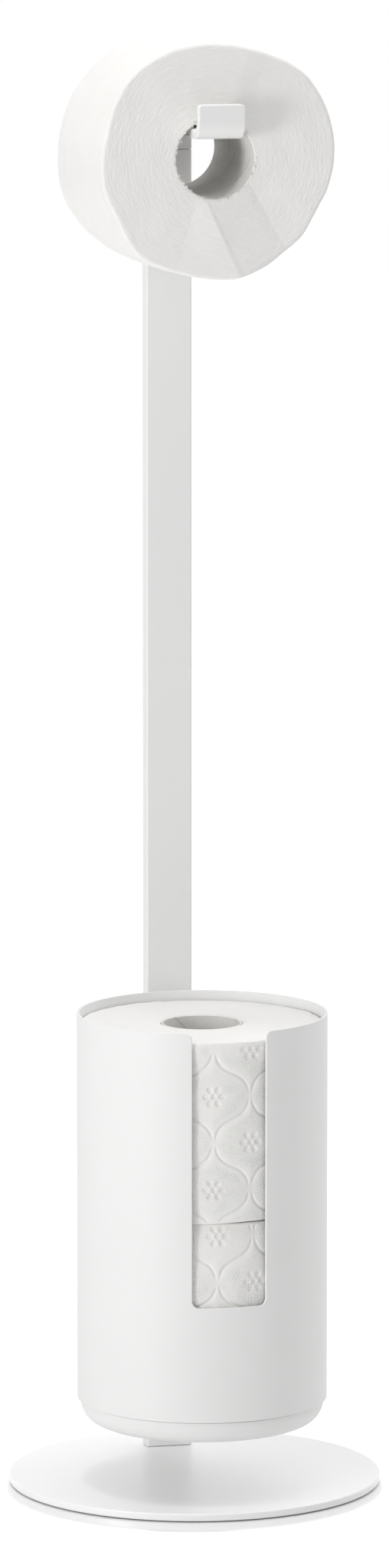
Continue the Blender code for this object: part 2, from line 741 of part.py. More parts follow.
def squash(mesh):
    """Presses a round roll into the soft outline of one that has been handled."""
    for vert in mesh.vertices:
        radius = math.hypot(vert.co.x, vert.co.y)
        angle = math.degrees(math.atan2(vert.co.y, vert.co.x))
        wave = sum(
            height * math.cos(math.radians(count * angle - crest))
            for count, height, crest in HANG_SQUASH_SHARES
        )
        # The winds by the core stay round
        reach = (radius - PAPER_BORE_RADIUS) / (HANG_RADIUS - PAPER_BORE_RADIUS)
        back = 0.5 - vert.co.z / HANG_LENGTH
        lean_x, lean_y = (share * HANG_RADIUS * reach * back for share in HANG_LEAN_SHARES)
        grow = 1.0 + wave * reach
        vert.co.x = vert.co.x * grow + lean_x
        vert.co.y = vert.co.y * grow + lean_y


def hanging_profile():
    """Profile of the hanging roll about its axis, with its front end at +Z."""
    front = HANG_LENGTH / 2
    back = -front
    flat = HANG_RADIUS - HANG_EDGE_ROUND
    dish_rim = PAPER_BORE_RADIUS + HANG_DISH_SHARE * (flat - PAPER_BORE_RADIUS)
    mouth = PAPER_BORE_RADIUS + HANG_BORE_ROUND
    points = arc(flat, front - HANG_EDGE_ROUND, HANG_EDGE_ROUND, 90.0, 0.0)
    points += [(HANG_RADIUS + HANG_CROWN, 0.0)]
    points += arc(flat, back + HANG_EDGE_ROUND, HANG_EDGE_ROUND, 0.0, -90.0)
    points += [(dish_rim, back + HANG_DISH * (1.0 - HANG_DISH_SHARE) / 2)]
    points += [(mouth, back + HANG_DISH), (PAPER_BORE_RADIUS, back + HANG_DISH + HANG_BORE_ROUND)]
    points += [(PAPER_BORE_RADIUS, front - HANG_BORE_ROUND), (mouth, front)]
    return points


def core_profile(bottom, top):
    """Profile of a cardboard core between two heights."""
    return [
        (CORE_RADIUS, top),
        (CORE_RADIUS, bottom),
        (CORE_BORE_RADIUS, bottom),
        (CORE_BORE_RADIUS, top),
    ]


def add_hanging_roll():
    """Large soft roll and its core, which turn together about the core's axis."""
    centre_y = (HANG_FRONT + HANG_BACK) / 2
    axis = empty("hanging_roll_axis", (0.0, centre_y, ROLL_AXIS_Z), TO_FRONT)
    paper = turned("hanging_roll_paper", hanging_profile(), HANG_STEPS, closed=True)
    squash(paper.data)
    paper.parent = axis
    dress(paper, SOFT_PAPER)
    half = HANG_LENGTH / 2
    core = turned(
        "hanging_roll_core",
        core_profile(HANG_DISH - half + CORE_END_SETBACK, half - CORE_END_SETBACK),
        CORE_STEPS,
        closed=True,
    )
    core.parent = axis
    dress(core, GREY_CARDBOARD)


def spare_profile():
    """Profile of a spare roll's paper from its foot at 0 up."""
    flat = SPARE_RADIUS - SPARE_EDGE_ROUND
    mouth = PAPER_BORE_RADIUS + SPARE_BORE_ROUND
    points = arc(flat, SPARE_HEIGHT - SPARE_EDGE_ROUND, SPARE_EDGE_ROUND, 90.0, 0.0, SPARE_EDGE_STEPS)
    points += arc(flat, SPARE_EDGE_ROUND, SPARE_EDGE_ROUND, 0.0, -90.0, SPARE_EDGE_STEPS)
    points += [(mouth, 0.0), (PAPER_BORE_RADIUS, SPARE_BORE_ROUND)]
    points += [(PAPER_BORE_RADIUS, SPARE_HEIGHT - SPARE_BORE_ROUND), (mouth, SPARE_HEIGHT)]
    return points


def add_spare_roll(name, bottom):
    """Spare roll that stands in the canister, with its core."""
    axis = empty(name + "_axis", (SPARE_CENTRE_X, CAN_CENTRE_Y, bottom))
    paper = turned(name + "_paper", spare_profile(), ROLL_STEPS, closed=True)
    paper.parent = axis
    dress(paper, EMBOSSED_PAPER)
    core = turned(
        name + "_core",
        core_profile(CORE_END_SETBACK, SPARE_HEIGHT - CORE_END_SETBACK),
        CORE_STEPS,
        closed=True,
    )
    core.parent = axis
    dress(core, GREY_CARDBOARD)


def build():
    """Builds the whole holder."""
    add_base_plate()
    add_base_pad()
    add_base_screws()
    add_mast_tube()
    add_mast_foot_plug()
    add_hook_arm()
    add_hook_screws()
    canister_axis = empty("canister_axis", (0.0, CAN_CENTRE_Y, 0.0))
    add_canister_shell(canister_axis)
    add_canister_cap(canister_axis)
    add_canister_floor(canister_axis)
    for name, height in can_screw_heights():
        add_canister_mounting(name, height)
    add_hanging_roll()
    add_spare_roll("upper_roll", UPPER_ROLL_BOTTOM)
    add_spare_roll("lower_roll", LOWER_ROLL_BOTTOM)
    bpy.context.view_layer.update()


clear_scene()
PARTS = new_collection("toilet_roll_holder")
CUTTERS = new_collection("cutters")
build()
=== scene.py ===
"""Looks of a free-standing toilet roll holder with a canister for two spare rolls.

Lengths are in metres, +Z is up and the lip and the slot face -Y. Each piece is modelled where
its CAD node stands, so every object sits at the origin and its place is in its mesh.
"""

import json
import logging
import math
from collections.abc import Iterator, Mapping, Sequence
from dataclasses import dataclass
from enum import Enum
from typing import NamedTuple

import bmesh
import bpy
import numpy as np
from mathutils import Matrix, Vector, noise


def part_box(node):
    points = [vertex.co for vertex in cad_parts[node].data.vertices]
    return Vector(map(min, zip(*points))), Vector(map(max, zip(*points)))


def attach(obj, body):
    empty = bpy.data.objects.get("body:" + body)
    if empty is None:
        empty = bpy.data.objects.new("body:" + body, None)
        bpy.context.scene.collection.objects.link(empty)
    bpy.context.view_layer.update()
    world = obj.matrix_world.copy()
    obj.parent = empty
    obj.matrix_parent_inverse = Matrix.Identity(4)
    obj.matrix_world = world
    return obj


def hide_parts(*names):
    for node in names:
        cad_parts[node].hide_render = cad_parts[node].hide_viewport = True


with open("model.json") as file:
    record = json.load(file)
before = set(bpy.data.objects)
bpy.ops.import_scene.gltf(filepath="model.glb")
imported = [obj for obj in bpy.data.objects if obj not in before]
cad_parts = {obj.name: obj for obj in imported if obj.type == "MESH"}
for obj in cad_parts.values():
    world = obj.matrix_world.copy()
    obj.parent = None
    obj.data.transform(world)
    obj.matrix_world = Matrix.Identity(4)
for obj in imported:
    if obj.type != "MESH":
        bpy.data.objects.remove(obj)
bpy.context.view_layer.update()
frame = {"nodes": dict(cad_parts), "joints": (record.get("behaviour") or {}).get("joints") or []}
LOG = logging.getLogger("roll_holder")

Point = tuple[float, float]
Corner = tuple[float, float, float]
Colour = tuple[float, float, float]
Mesh = bpy.types.Mesh

WELD_DISTANCE = 0.000001
CUT_OVERRUN = 0.002
TURN_STEPS = 256
HOLE_STEPS = 32
FILLET_STEPS = 8
EDGE_STEPS = 3
SHARP_ANGLE = math.radians(32.0)
HEX_SIDES = 6
NOISE_MIDDLE = (0.3, 0.7)
WRAP_MAP = "Wrap"
SOCKET_KINDS = {float: "NodeSocketFloat", int: "NodeSocketInt", tuple: "NodeSocketVector"}

BASE_SCREWS = ("base_screw_left", "base_screw_right")
ARM_SCREWS = ("hook_screw_upper", "hook_screw_lower")
CANISTER_SCREWS = ("canister_screw_upper", "canister_screw_lower")
RIVET_NUTS = ("rivet_nut_upper", "rivet_nut_lower")
BUSHES = ("canister_spacer_upper", "canister_spacer_lower")


class Body(Enum):
    """Bodies of the frame that a piece can ride on."""

    STAND = "stand"
    HANGING_ROLL = "hanging_roll"
    LOWER_ROLL = "lower_spare_roll"
    UPPER_ROLL = "upper_spare_roll"


class Slot(Enum):
    """Material slots of the record that new pieces belong to."""

    POWDER = "powder_white"
    SCREW = "screw_steel"
    SOFT_PAPER = "soft_paper"
    EMBOSSED_PAPER = "embossed_paper"
    CORE = "core_card"


def middle_height(node: str) -> float:
    """Height of the middle of a CAD node's box."""
    return sum(corner.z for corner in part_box(node)) / 2


def spin_centre() -> Vector:
    """Middle of the hanging roll's axis, from its joint."""
    joint = next(joint for joint in frame["joints"] if joint["name"] == "hanging_roll_spin")
    return Vector(joint["pos_m"])


def fillet(corners: Sequence[Corner], steps: int = FILLET_STEPS) -> list[Point]:
    """Rounds the corners of a closed outline.

    Args:
        corners: Each corner as (x, y, radius); a radius of 0 keeps it sharp.
        steps: Segments in each rounded corner.

    Returns:
        The outline's points, in the corners' order.
    """
    points: list[Point] = []
    for index, (x, y, radius) in enumerate(corners):
        if radius == 0.0:
            points.append((x, y))
            continue
        here = Vector((x, y))
        before = (Vector(corners[index - 1][:2]) - here).normalized()
        after = (Vector(corners[(index + 1) % len(corners)][:2]) - here).normalized()
        half = before.angle(after) / 2
        centre = here + (before + after).normalized() * radius / math.sin(half)
        first = here + before * radius / math.tan(half) - centre
        last = here + after * radius / math.tan(half) - centre
        start = math.atan2(first.y, first.x)
        sweep = (math.atan2(last.y, last.x) - start + math.pi) % math.tau - math.pi
        for step in range(steps + 1):
            angle = start + sweep * step / steps
            points.append((centre.x + radius * math.cos(angle), centre.y + radius * math.sin(angle)))
    return points


def circle(centre: Point, radius: float, sides: int) -> list[Point]:
    """Points round a circle."""
    angles = [math.tau * side / sides for side in range(sides)]
    return [(centre[0] + radius * math.cos(a), centre[1] + radius * math.sin(a)) for a in angles]


def linked(name: str, data: bpy.types.ID) -> bpy.types.Object:
    """Links a new object to the scene, with its mesh, curve, light or camera."""
    obj = bpy.data.objects.new(name, data)
    bpy.context.scene.collection.objects.link(obj)
    return obj


def settled(obj: bpy.types.Object) -> Mesh:
    """Takes an object's evaluated shape as a plain mesh.

    Args:
        obj: The object, which is removed with its modifiers.

    Returns:
        The mesh.
    """
    bpy.context.view_layer.update()
    graph = bpy.context.evaluated_depsgraph_get()
    mesh = bpy.data.meshes.new_from_object(
        obj.evaluated_get(graph), preserve_all_data_layers=True, depsgraph=graph
    )
    bpy.data.objects.remove(obj)
    return mesh


def from_bmesh(bm: bmesh.types.BMesh) -> Mesh:
    """Welds a bmesh and turns its faces outwards.

    Args:
        bm: The bmesh, which is freed.

    Returns:
        The mesh.
    """
    bmesh.ops.remove_doubles(bm, verts=bm.verts[:], dist=WELD_DISTANCE)
    bmesh.ops.recalc_face_normals(bm, faces=bm.faces[:])
    mesh = bpy.data.meshes.new("shape")
    bm.to_mesh(mesh)
    bm.free()
    return mesh


def cut_across(bm: bmesh.types.BMesh, place: Corner, normal: Corner, **clearing: bool) -> None:
    """Cuts a bmesh's faces along a plane.

    Args:
        bm: The bmesh.
        place: A point of the plane.
        normal: The plane's direction.
        **clearing: Whether the part inside or outside the plane goes.
    """
    geometry = bm.verts[:] + bm.edges[:] + bm.faces[:]
    bmesh.ops.bisect_plane(
        bm, geom=geometry, dist=WELD_DISTANCE, plane_co=place, plane_no=normal, **clearing
    )


def flat_plate(outlines: Sequence[Sequence[Point]], thickness: float, edge: float) -> Mesh:
    """Makes a flat plate with softly rounded edges.

    Args:
        outlines: The outer outline and those of any holes, in the plate's plane.
        thickness: The plate's thickness, centred on its plane.
        edge: Radius of the rounded edges.

    Returns:
        A closed mesh in the XY plane.
    """
    curve = bpy.data.curves.new("outline", "CURVE")
    curve.dimensions = "2D"
    curve.fill_mode = "BOTH"
    curve.extrude = thickness / 2 - edge
    curve.bevel_depth = edge
    curve.bevel_resolution = EDGE_STEPS - 1
    curve.offset = -edge
    for outline in outlines:
        spline = curve.splines.new("POLY")
        spline.points.add(len(outline) - 1)
        for point, (x, y) in zip(spline.points, outline):
            point.co = (x, y, 0.0, 1.0)
        spline.use_cyclic_u = True
    bm = bmesh.new()
    bm.from_mesh(settled(linked("outline", curve)))
    return from_bmesh(bm)


def turned(profile: Sequence[Point], steps: int, centre: Point = (0.0, 0.0)) -> Mesh:
    """Turns a closed profile of (radius, height) about an upright axis.

    Args:
        profile: The profile's points; those at radius 0 become poles.
        steps: Facets round the axis.
        centre: Place of the axis in X and Y.

    Returns:
        A closed mesh.
    """
    bm = bmesh.new()
    rings = []
    for radius, height in profile:
        places = [centre] if radius < WELD_DISTANCE else circle(centre, radius, steps)
        rings.append([bm.verts.new((*place, height)) for place in places])
    for ring, following in zip(rings, rings[1:] + rings[:1]):
        if len(ring) == len(following) == 1:
            continue
        for step in range(steps):
            beside = (step + 1) % steps
            corners = (
                ring[step % len(ring)], ring[beside % len(ring)],
                following[beside % len(following)], following[step % len(following)],
            )
            bm.faces.new(tuple(dict.fromkeys(corners)))
    return from_bmesh(bm)


def rod(start: Vector, end: Vector, radius: float) -> Mesh:
    """Makes a round bar.

    Args:
        start: Middle of its first end.
        end: Middle of its other end.
        radius: Its radius.

    Returns:
        A closed mesh.
    """
    bm = bmesh.new()
    bmesh.ops.create_cone(
        bm, cap_ends=True, segments=HOLE_STEPS, radius1=radius, radius2=radius,
        depth=(end - start).length,
    )
    turn = (end - start).to_track_quat("Z", "Y").to_matrix().to_4x4()
    bmesh.ops.transform(
        bm, matrix=Matrix.Translation((start + end) / 2) @ turn, verts=bm.verts[:]
    )
    return from_bmesh(bm)


def box_bar(low: Vector, high: Vector) -> Mesh:
    """Makes a square-edged bar.

    Args:
        low: Its lowest corner.
        high: Its highest corner.

    Returns:
        A closed mesh.
    """
    bm = bmesh.new()
    bmesh.ops.create_cube(bm, size=1.0)
    bmesh.ops.scale(bm, vec=high - low, verts=bm.verts[:])
    bmesh.ops.translate(bm, vec=(low + high) / 2, verts=bm.verts[:])
    return from_bmesh(bm)


def combined(mesh: Mesh, tools: Sequence[Mesh], operation: str = "DIFFERENCE") -> Mesh:
    """Cuts tools out of a mesh, or joins them to it.

    Args:
        mesh: The mesh that is worked on.
        tools: The other meshes.
        operation: DIFFERENCE to cut and UNION to join.

    Returns:
        The result.
    """
    stock = linked("stock", mesh)
    helpers = [linked("tool", tool) for tool in tools]
    for helper in helpers:
        boolean = stock.modifiers.new("combine", "BOOLEAN")
        boolean.operation = operation
        boolean.solver = "EXACT"
        boolean.object = helper
    result = settled(stock)
    for helper in helpers:
        bpy.data.objects.remove(helper)
    return result


def shaded(mesh: Mesh) -> Mesh:
    """Shades a mesh smooth, with sharp edges and flat faces kept by weighted normals.

    Args:
        mesh: The mesh.

    Returns:
        The shaded mesh.
    """
    mesh.shade_smooth()
    mesh.set_sharp_from_angle(angle=SHARP_ANGLE)
    obj = linked("shading", mesh)
    weighted = obj.modifiers.new("weigh normals", "WEIGHTED_NORMAL")
    weighted.keep_sharp = True
    return settled(obj)


class Value:
    """What a socket gives on a node sheet; a number has the usual arithmetic."""

    def __init__(self, sheet: "NodeSheet", socket: bpy.types.NodeSocket) -> None:
        """Notes the sheet and the socket."""
        self.sheet = sheet
        self.socket = socket

    def __add__(self, other: object) -> "Value":
        """Sum."""
        return self.sheet.math("ADD", self, other)

    def __sub__(self, other: object) -> "Value":
        """Difference."""
        return self.sheet.math("SUBTRACT", self, other)

    def __rsub__(self, other: float) -> "Value":
        """Difference from a plain number."""
        return self.sheet.math("SUBTRACT", other, self)

    def __mul__(self, other: object) -> "Value":
        """Product."""
        return self.sheet.math("MULTIPLY", self, other)

    def __truediv__(self, other: object) -> "Value":
        """Quotient."""
        return self.sheet.math("DIVIDE", self, other)

    def __rtruediv__(self, other: float) -> "Value":
        """Quotient of a plain number by this one."""
        return self.sheet.math("DIVIDE", other, self)

    def __pow__(self, power: float) -> "Value":
        """Power."""
        return self.sheet.math("POWER", self, power)


class NodeSheet:
    """A material's node tree, with short calls that add and join its nodes."""

    def __init__(self, name: str) -> None:
        """Starts a material around a Principled shader."""
        self.material = bpy.data.materials.new(name)
        self.material.use_nodes = True
        self.tree = self.material.node_tree
        self.shader = self.tree.nodes["Principled BSDF"]

    def node(
        self, kind: str, inputs: Mapping[str | int, object] | None = None, **settings: object
    ) -> bpy.types.Node:
        """Adds a node.

        Args:
            kind: The node's type name.
            inputs: Plain values or Values for its inputs, by name or index.
            **settings: The node's own properties.

        Returns:
            The new node.
        """
        made = self.tree.nodes.new(kind)
        for key, value in settings.items():
            setattr(made, key, value)
        for key, value in (inputs or {}).items():
            self.put(made.inputs[key], value)
        return made

    def value(
        self, kind: str, inputs: Mapping[str | int, object] | None = None, which: str | int = 0,
        **settings: object,
    ) -> Value:
        """Adds a node, and gives one of its outputs by name or index."""
        return Value(self, self.node(kind, inputs, **settings).outputs[which])

    def put(self, socket: bpy.types.NodeSocket, value: object) -> None:
        """Sets an input to a plain value, or joins a Value to it."""
        if isinstance(value, Value):
            self.tree.links.new(value.socket, socket)
        else:
            socket.default_value = value

    def math(self, operation: str, *values: object) -> Value:
        """Result of a Math node."""
        return self.value("ShaderNodeMath", dict(enumerate(values)), operation=operation)

    def vector(self, operation: str, *values: object, which: str = "Vector") -> Value:
        """Result of a Vector Math node."""
        inputs = dict(enumerate(values))
        return self.value("ShaderNodeVectorMath", inputs, which, operation=operation)

    def times(self, vector: Value, scale: Value) -> Value:
        """A vector lengthened by a number."""
        inputs = {0: vector, "Scale": scale}
        return self.value("ShaderNodeVectorMath", inputs, operation="SCALE")

    def place(self) -> Value:
        """Object coordinates, in metres."""
        return self.value("ShaderNodeTexCoord", which="Object")

    def wrap(self) -> Value:
        """The piece's own UV map, in metres along its surface."""
        return self.value("ShaderNodeUVMap", which="UV", uv_map=WRAP_MAP)

    def stretched(self, vector: Value, scale: Corner) -> Value:
        """Scales coordinates unequally."""
        return self.value("ShaderNodeMapping", {"Vector": vector, "Scale": scale})

    def parts(self, vector: Value) -> tuple[Value, ...]:
        """Splits a vector into its three numbers."""
        outputs = self.node("ShaderNodeSeparateXYZ", {0: vector}).outputs
        return tuple(Value(self, output) for output in outputs)

    def diagonal(self, first: Value, second: Value) -> Value:
        """Length of the diagonal across two sides."""
        return self.math("SQRT", first ** 2.0 + second ** 2.0)

    def about(self, place: Value, axis: Point) -> tuple[Value, ...]:
        """Gives a point's X and Y from an upright axis, its height, and its distance from it."""
        x, y, height = self.parts(place)
        x, y = x - axis[0], y - axis[1]
        return x, y, height, self.diagonal(x, y)

    def ramp(self, value: object, start: object, end: object) -> Value:
        """Rises smoothly from 0 to 1 as a value goes from start to end."""
        inputs = {"Value": value, "From Min": start, "From Max": end}
        return self.value("ShaderNodeMapRange", inputs, interpolation_type="SMOOTHSTEP")

    def speckle(self, vector: Value, size: object, detail: float = 2.0) -> Value:
        """Noise whose features are about size across, from 0 to 1."""
        inputs = {"Vector": vector, "Scale": 1.0 / size, "Detail": detail}
        return self.value("ShaderNodeTexNoise", inputs, "Fac")

    def span(self, value: Value, low: float, high: float) -> Value:
        """Maps the middle of a noise's range to run from low to high."""
        dark, bright = NOISE_MIDDLE
        inputs = {"Value": value, "From Min": dark, "From Max": bright}
        return self.value("ShaderNodeMapRange", {**inputs, "To Min": low, "To Max": high})

    def tint(self, factor: Value, low: object, high: object) -> Value:
        """Mixes two colours by a factor."""
        inputs = {"Factor": factor, "A": low, "B": high}
        return self.value("ShaderNodeMix", inputs, "Result", data_type="RGBA")

    def bump(
        self, height: Value, distance: float, strength: float = 1.0, under: Value | None = None
    ) -> Value:
        """Turns a height into a normal.

        Args:
            height: The height, from 0 to 1.
            distance: The height's full rise.
            strength: Share of the bump that counts.
            under: Another bump that this one lies on.

        Returns:
            The normal.
        """
        inputs = {"Height": height, "Distance": distance, "Strength": strength}
        if under is not None:
            inputs["Normal"] = under
        return self.value("ShaderNodeBump", inputs)

    def surface(self, **inputs: object) -> bpy.types.Material:
        """Sets the shader's inputs.

        Args:
            **inputs: The inputs, each named with _ for a space.

        Returns:
            The finished material.
        """
        for key, value in inputs.items():
            self.put(self.shader.inputs[key.replace("_", " ")], value)
        return self.material


class WorldSheet(NodeSheet):
    """The world's node tree, with the same short calls."""

    def __init__(self, world: bpy.types.World) -> None:
        """Takes over a world's tree."""
        self.tree = world.node_tree


class GeometrySheet(NodeSheet):
    """A Geometry Nodes tree with named sizes, run on a stock mesh."""

    def __init__(self, name: str, sizes: Mapping[str, float | int | Corner]) -> None:
        """Starts a tree.

        Args:
            name: The tree's name.
            sizes: Its named inputs with their values.
        """
        self.tree = bpy.data.node_groups.new(name, "GeometryNodeTree")
        self.sizes = dict(sizes)
        sockets = [
            ("Geometry", "OUTPUT", "NodeSocketGeometry"), ("Geometry", "INPUT", "NodeSocketGeometry"),
            ("Finish", "INPUT", "NodeSocketMaterial"),
        ]
        sockets += [(title, "INPUT", SOCKET_KINDS[type(value)]) for title, value in sizes.items()]
        for title, way, kind in sockets:
            self.tree.interface.new_socket(name=title, in_out=way, socket_type=kind)
        outputs = self.tree.nodes.new("NodeGroupInput").outputs
        self.given = {output.name: Value(self, output) for output in outputs}

    def place(self) -> Value:
        """The points' own places."""
        return self.value("GeometryNodeInputPosition")

    def moved(self, mesh: Value, offset: Value) -> Value:
        """Moves a geometry's points by an offset."""
        return self.value("GeometryNodeSetPosition", {"Geometry": mesh, "Offset": offset})

    def way(self, x: object, y: object, z: object) -> Value:
        """Joins three numbers into a vector."""
        return self.value("ShaderNodeCombineXYZ", {0: x, 1: y, 2: z})

    def chance(self, seed: int, kind: str, **inputs: object) -> Value:
        """Random value for each point, from a fixed seed."""
        inputs["Seed"] = seed
        return self.value("FunctionNodeRandomValue", inputs, "Value", data_type=kind)

    def grown(self, stock: Mesh, shape: Value, finish: "Finish") -> Mesh:
        """Ends the tree and runs it on a mesh.

        Args:
            stock: The mesh that the tree starts from.
            shape: The finished geometry.
            finish: The finish that the tree sets.

        Returns:
            The result as a plain mesh.
        """
        real = self.value("GeometryNodeRealizeInstances", {0: shape})
        inputs = {"Geometry": real, "Material": self.given["Finish"]}
        dressed = self.value("GeometryNodeSetMaterial", inputs)
        self.put(self.tree.nodes.new("NodeGroupOutput").inputs[0], dressed)
        obj = linked(self.tree.name, stock)
        modifier = obj.modifiers.new(self.tree.name, "NODES")
        modifier.node_group = self.tree
        values = {**self.sizes, "Finish": finish.material()}
        for item in self.tree.interface.items_tree:
            if item.in_out == "INPUT" and item.name in values:
                modifier[item.identifier] = values[item.name]
        return settled(obj)


@dataclass(frozen=True)
class Finish:
    """A surface finish, with one material for all its pieces; shade is its darkest share."""

    name: str
    colour: Colour
    shade: float
    roughness: tuple[float, float]

    def material(self) -> bpy.types.Material:
        """The finish's material, made the first time it is asked for."""
        return bpy.data.materials.get(self.name) or self.made(NodeSheet(self.name))

    def made(self, sheet: NodeSheet) -> bpy.types.Material:
        """Builds the material on a fresh node sheet."""
        raise NotImplementedError

    def scaled(self, share: float) -> tuple[float, ...]:
        """The colour made darker or lighter by a share, as a node takes it."""
        return (*(channel * share for channel in self.colour), 1.0)

    def toned(self, sheet: NodeSheet, factor: Value) -> Value:
        """The colour, darker where a noise is low."""
        return sheet.tint(factor, self.scaled(self.shade), self.scaled(1.0))

    def rough(self, sheet: NodeSheet, factor: Value) -> Value:
        """The roughness, higher where a noise is high."""
        return sheet.span(factor, *self.roughness)


@dataclass(frozen=True)
class PowderCoat(Finish):
    """Fine powder coat with its grain and a little orange peel, plain or under a clear coat."""

    name: str = "powder_coat"
    colour: Colour = (0.84, 0.84, 0.835)
    shade: float = 0.985
    roughness: tuple[float, float] = (0.44, 0.54)
    coat: float = 0.0
    coat_roughness: float = 0.2
    mottle_size: float = 0.030
    peel_size: float = 0.0016
    peel_strength: float = 0.35
    grain_size: float = 0.00035
    grain_strength: float = 0.3
    relief: float = 0.00004

    def made(self, sheet: NodeSheet) -> bpy.types.Material:
        """Builds the material on a fresh node sheet."""
        place = sheet.place()
        grain = sheet.speckle(place, self.grain_size, 1.0)
        peel = sheet.speckle(place, self.peel_size, 1.0)
        relief = sheet.bump(peel, self.relief, self.peel_strength)
        return sheet.surface(
            Base_Color=self.toned(sheet, sheet.speckle(place, self.mottle_size)),
            Roughness=self.rough(sheet, grain),
            Coat_Weight=self.coat,
            Coat_Roughness=self.coat_roughness,
            Normal=sheet.bump(grain, self.relief / 2, self.grain_strength, relief),
        )


@dataclass(frozen=True)
class Moulding(Finish):
    """Moulded rubber or plastic with a fine grain."""

    grain_size: float
    relief: float
    grain_strength: float

    def made(self, sheet: NodeSheet) -> bpy.types.Material:
        """Builds the material on a fresh node sheet."""
        grain = sheet.speckle(sheet.place(), self.grain_size)
        return sheet.surface(
            Base_Color=self.toned(sheet, grain),
            Roughness=self.rough(sheet, grain),
            Normal=sheet.bump(grain, self.relief, self.grain_strength),
        )


@dataclass(frozen=True)
class PlatedSteel(Finish):
    """Zinc-plated steel with fine turning marks and slight mottling."""

    name: str = "zinc_plate"
    colour: Colour = (0.62, 0.62, 0.64)
    shade: float = 0.85
    roughness: tuple[float, float] = (0.28, 0.42)
    mottle_size: float = 0.0015
    mark_size: float = 0.0003
    mark_stretch: Corner = (1.0, 6.0, 1.0)
    mark_strength: float = 0.4
    relief: float = 0.00001

    def made(self, sheet: NodeSheet) -> bpy.types.Material:
        """Builds the material on a fresh node sheet."""
        place = sheet.place()
        marks = sheet.speckle(sheet.stretched(place, self.mark_stretch), self.mark_size)
        return sheet.surface(
            Base_Color=self.toned(sheet, sheet.speckle(place, self.mottle_size)),
            Metallic=1.0,
            Roughness=self.rough(sheet, marks),
            Normal=sheet.bump(marks, self.relief, self.mark_strength),
        )


@dataclass(frozen=True)
class CrepedTissue(Finish):
    """Soft tissue: crepe wrinkles that run with the winds, fibres and faint clouds."""

    name: str = "creped_tissue"
    colour: Colour = (0.875, 0.866, 0.848)
    shade: float = 0.975
    roughness: tuple[float, float] = (0.88, 1.0)
    specular: float = 0.2
    cloud_size: float = 0.022
    crepe_size: float = 0.0011
    crepe_stretch: Corner = (0.22, 1.0, 1.0)
    crepe_relief: float = 0.00034
    crepe_strength: float = 0.7
    fibre_size: float = 0.00045
    fibre_stretch: Corner = (1.0, 0.4, 1.0)
    fibre_relief: float = 0.00034 / 3
    fibre_strength: float = 0.5

    def made(self, sheet: NodeSheet) -> bpy.types.Material:
        """Builds the material on a fresh node sheet."""
        wrap = sheet.wrap()
        crepe = sheet.speckle(sheet.stretched(wrap, self.crepe_stretch), self.crepe_size, 3.0)
        fibres = sheet.speckle(sheet.stretched(wrap, self.fibre_stretch), self.fibre_size)
        relief = sheet.bump(crepe, self.crepe_relief, self.crepe_strength)
        return self.dressed(sheet, sheet.place(), fibres, relief)

    def dressed(
        self, sheet: NodeSheet, place: Value, fibres: Value, relief: Value
    ) -> bpy.types.Material:
        """Lays clouds and fibres over the larger relief.

        Args:
            sheet: The sheet to build on.
            place: Where the surface is.
            fibres: The fibres' noise.
            relief: Normal of the larger relief.

        Returns:
            The material.
        """
        return sheet.surface(
            Base_Color=self.toned(sheet, sheet.speckle(place, self.cloud_size)),
            Roughness=self.rough(sheet, fibres),
            Specular_IOR_Level=self.specular,
            Normal=sheet.bump(fibres, self.fibre_relief, self.fibre_strength, relief),
        )


@dataclass(frozen=True)
class Spot:
    """Where a point lies in the quilt's pattern.

    Attributes:
        first: Distance to the nearest seam of one family.
        second: Distance to the nearest seam of the other family.
        across: Its way across the cell, from the cell's middle.
        up: Its way up the cell, from the cell's middle.
        girth: Its way round the roll.
        height: Its height.
        share: The share of the relief that it gets.
    """

    first: Value
    second: Value
    across: Value
    up: Value
    girth: Value
    height: Value
    share: Value


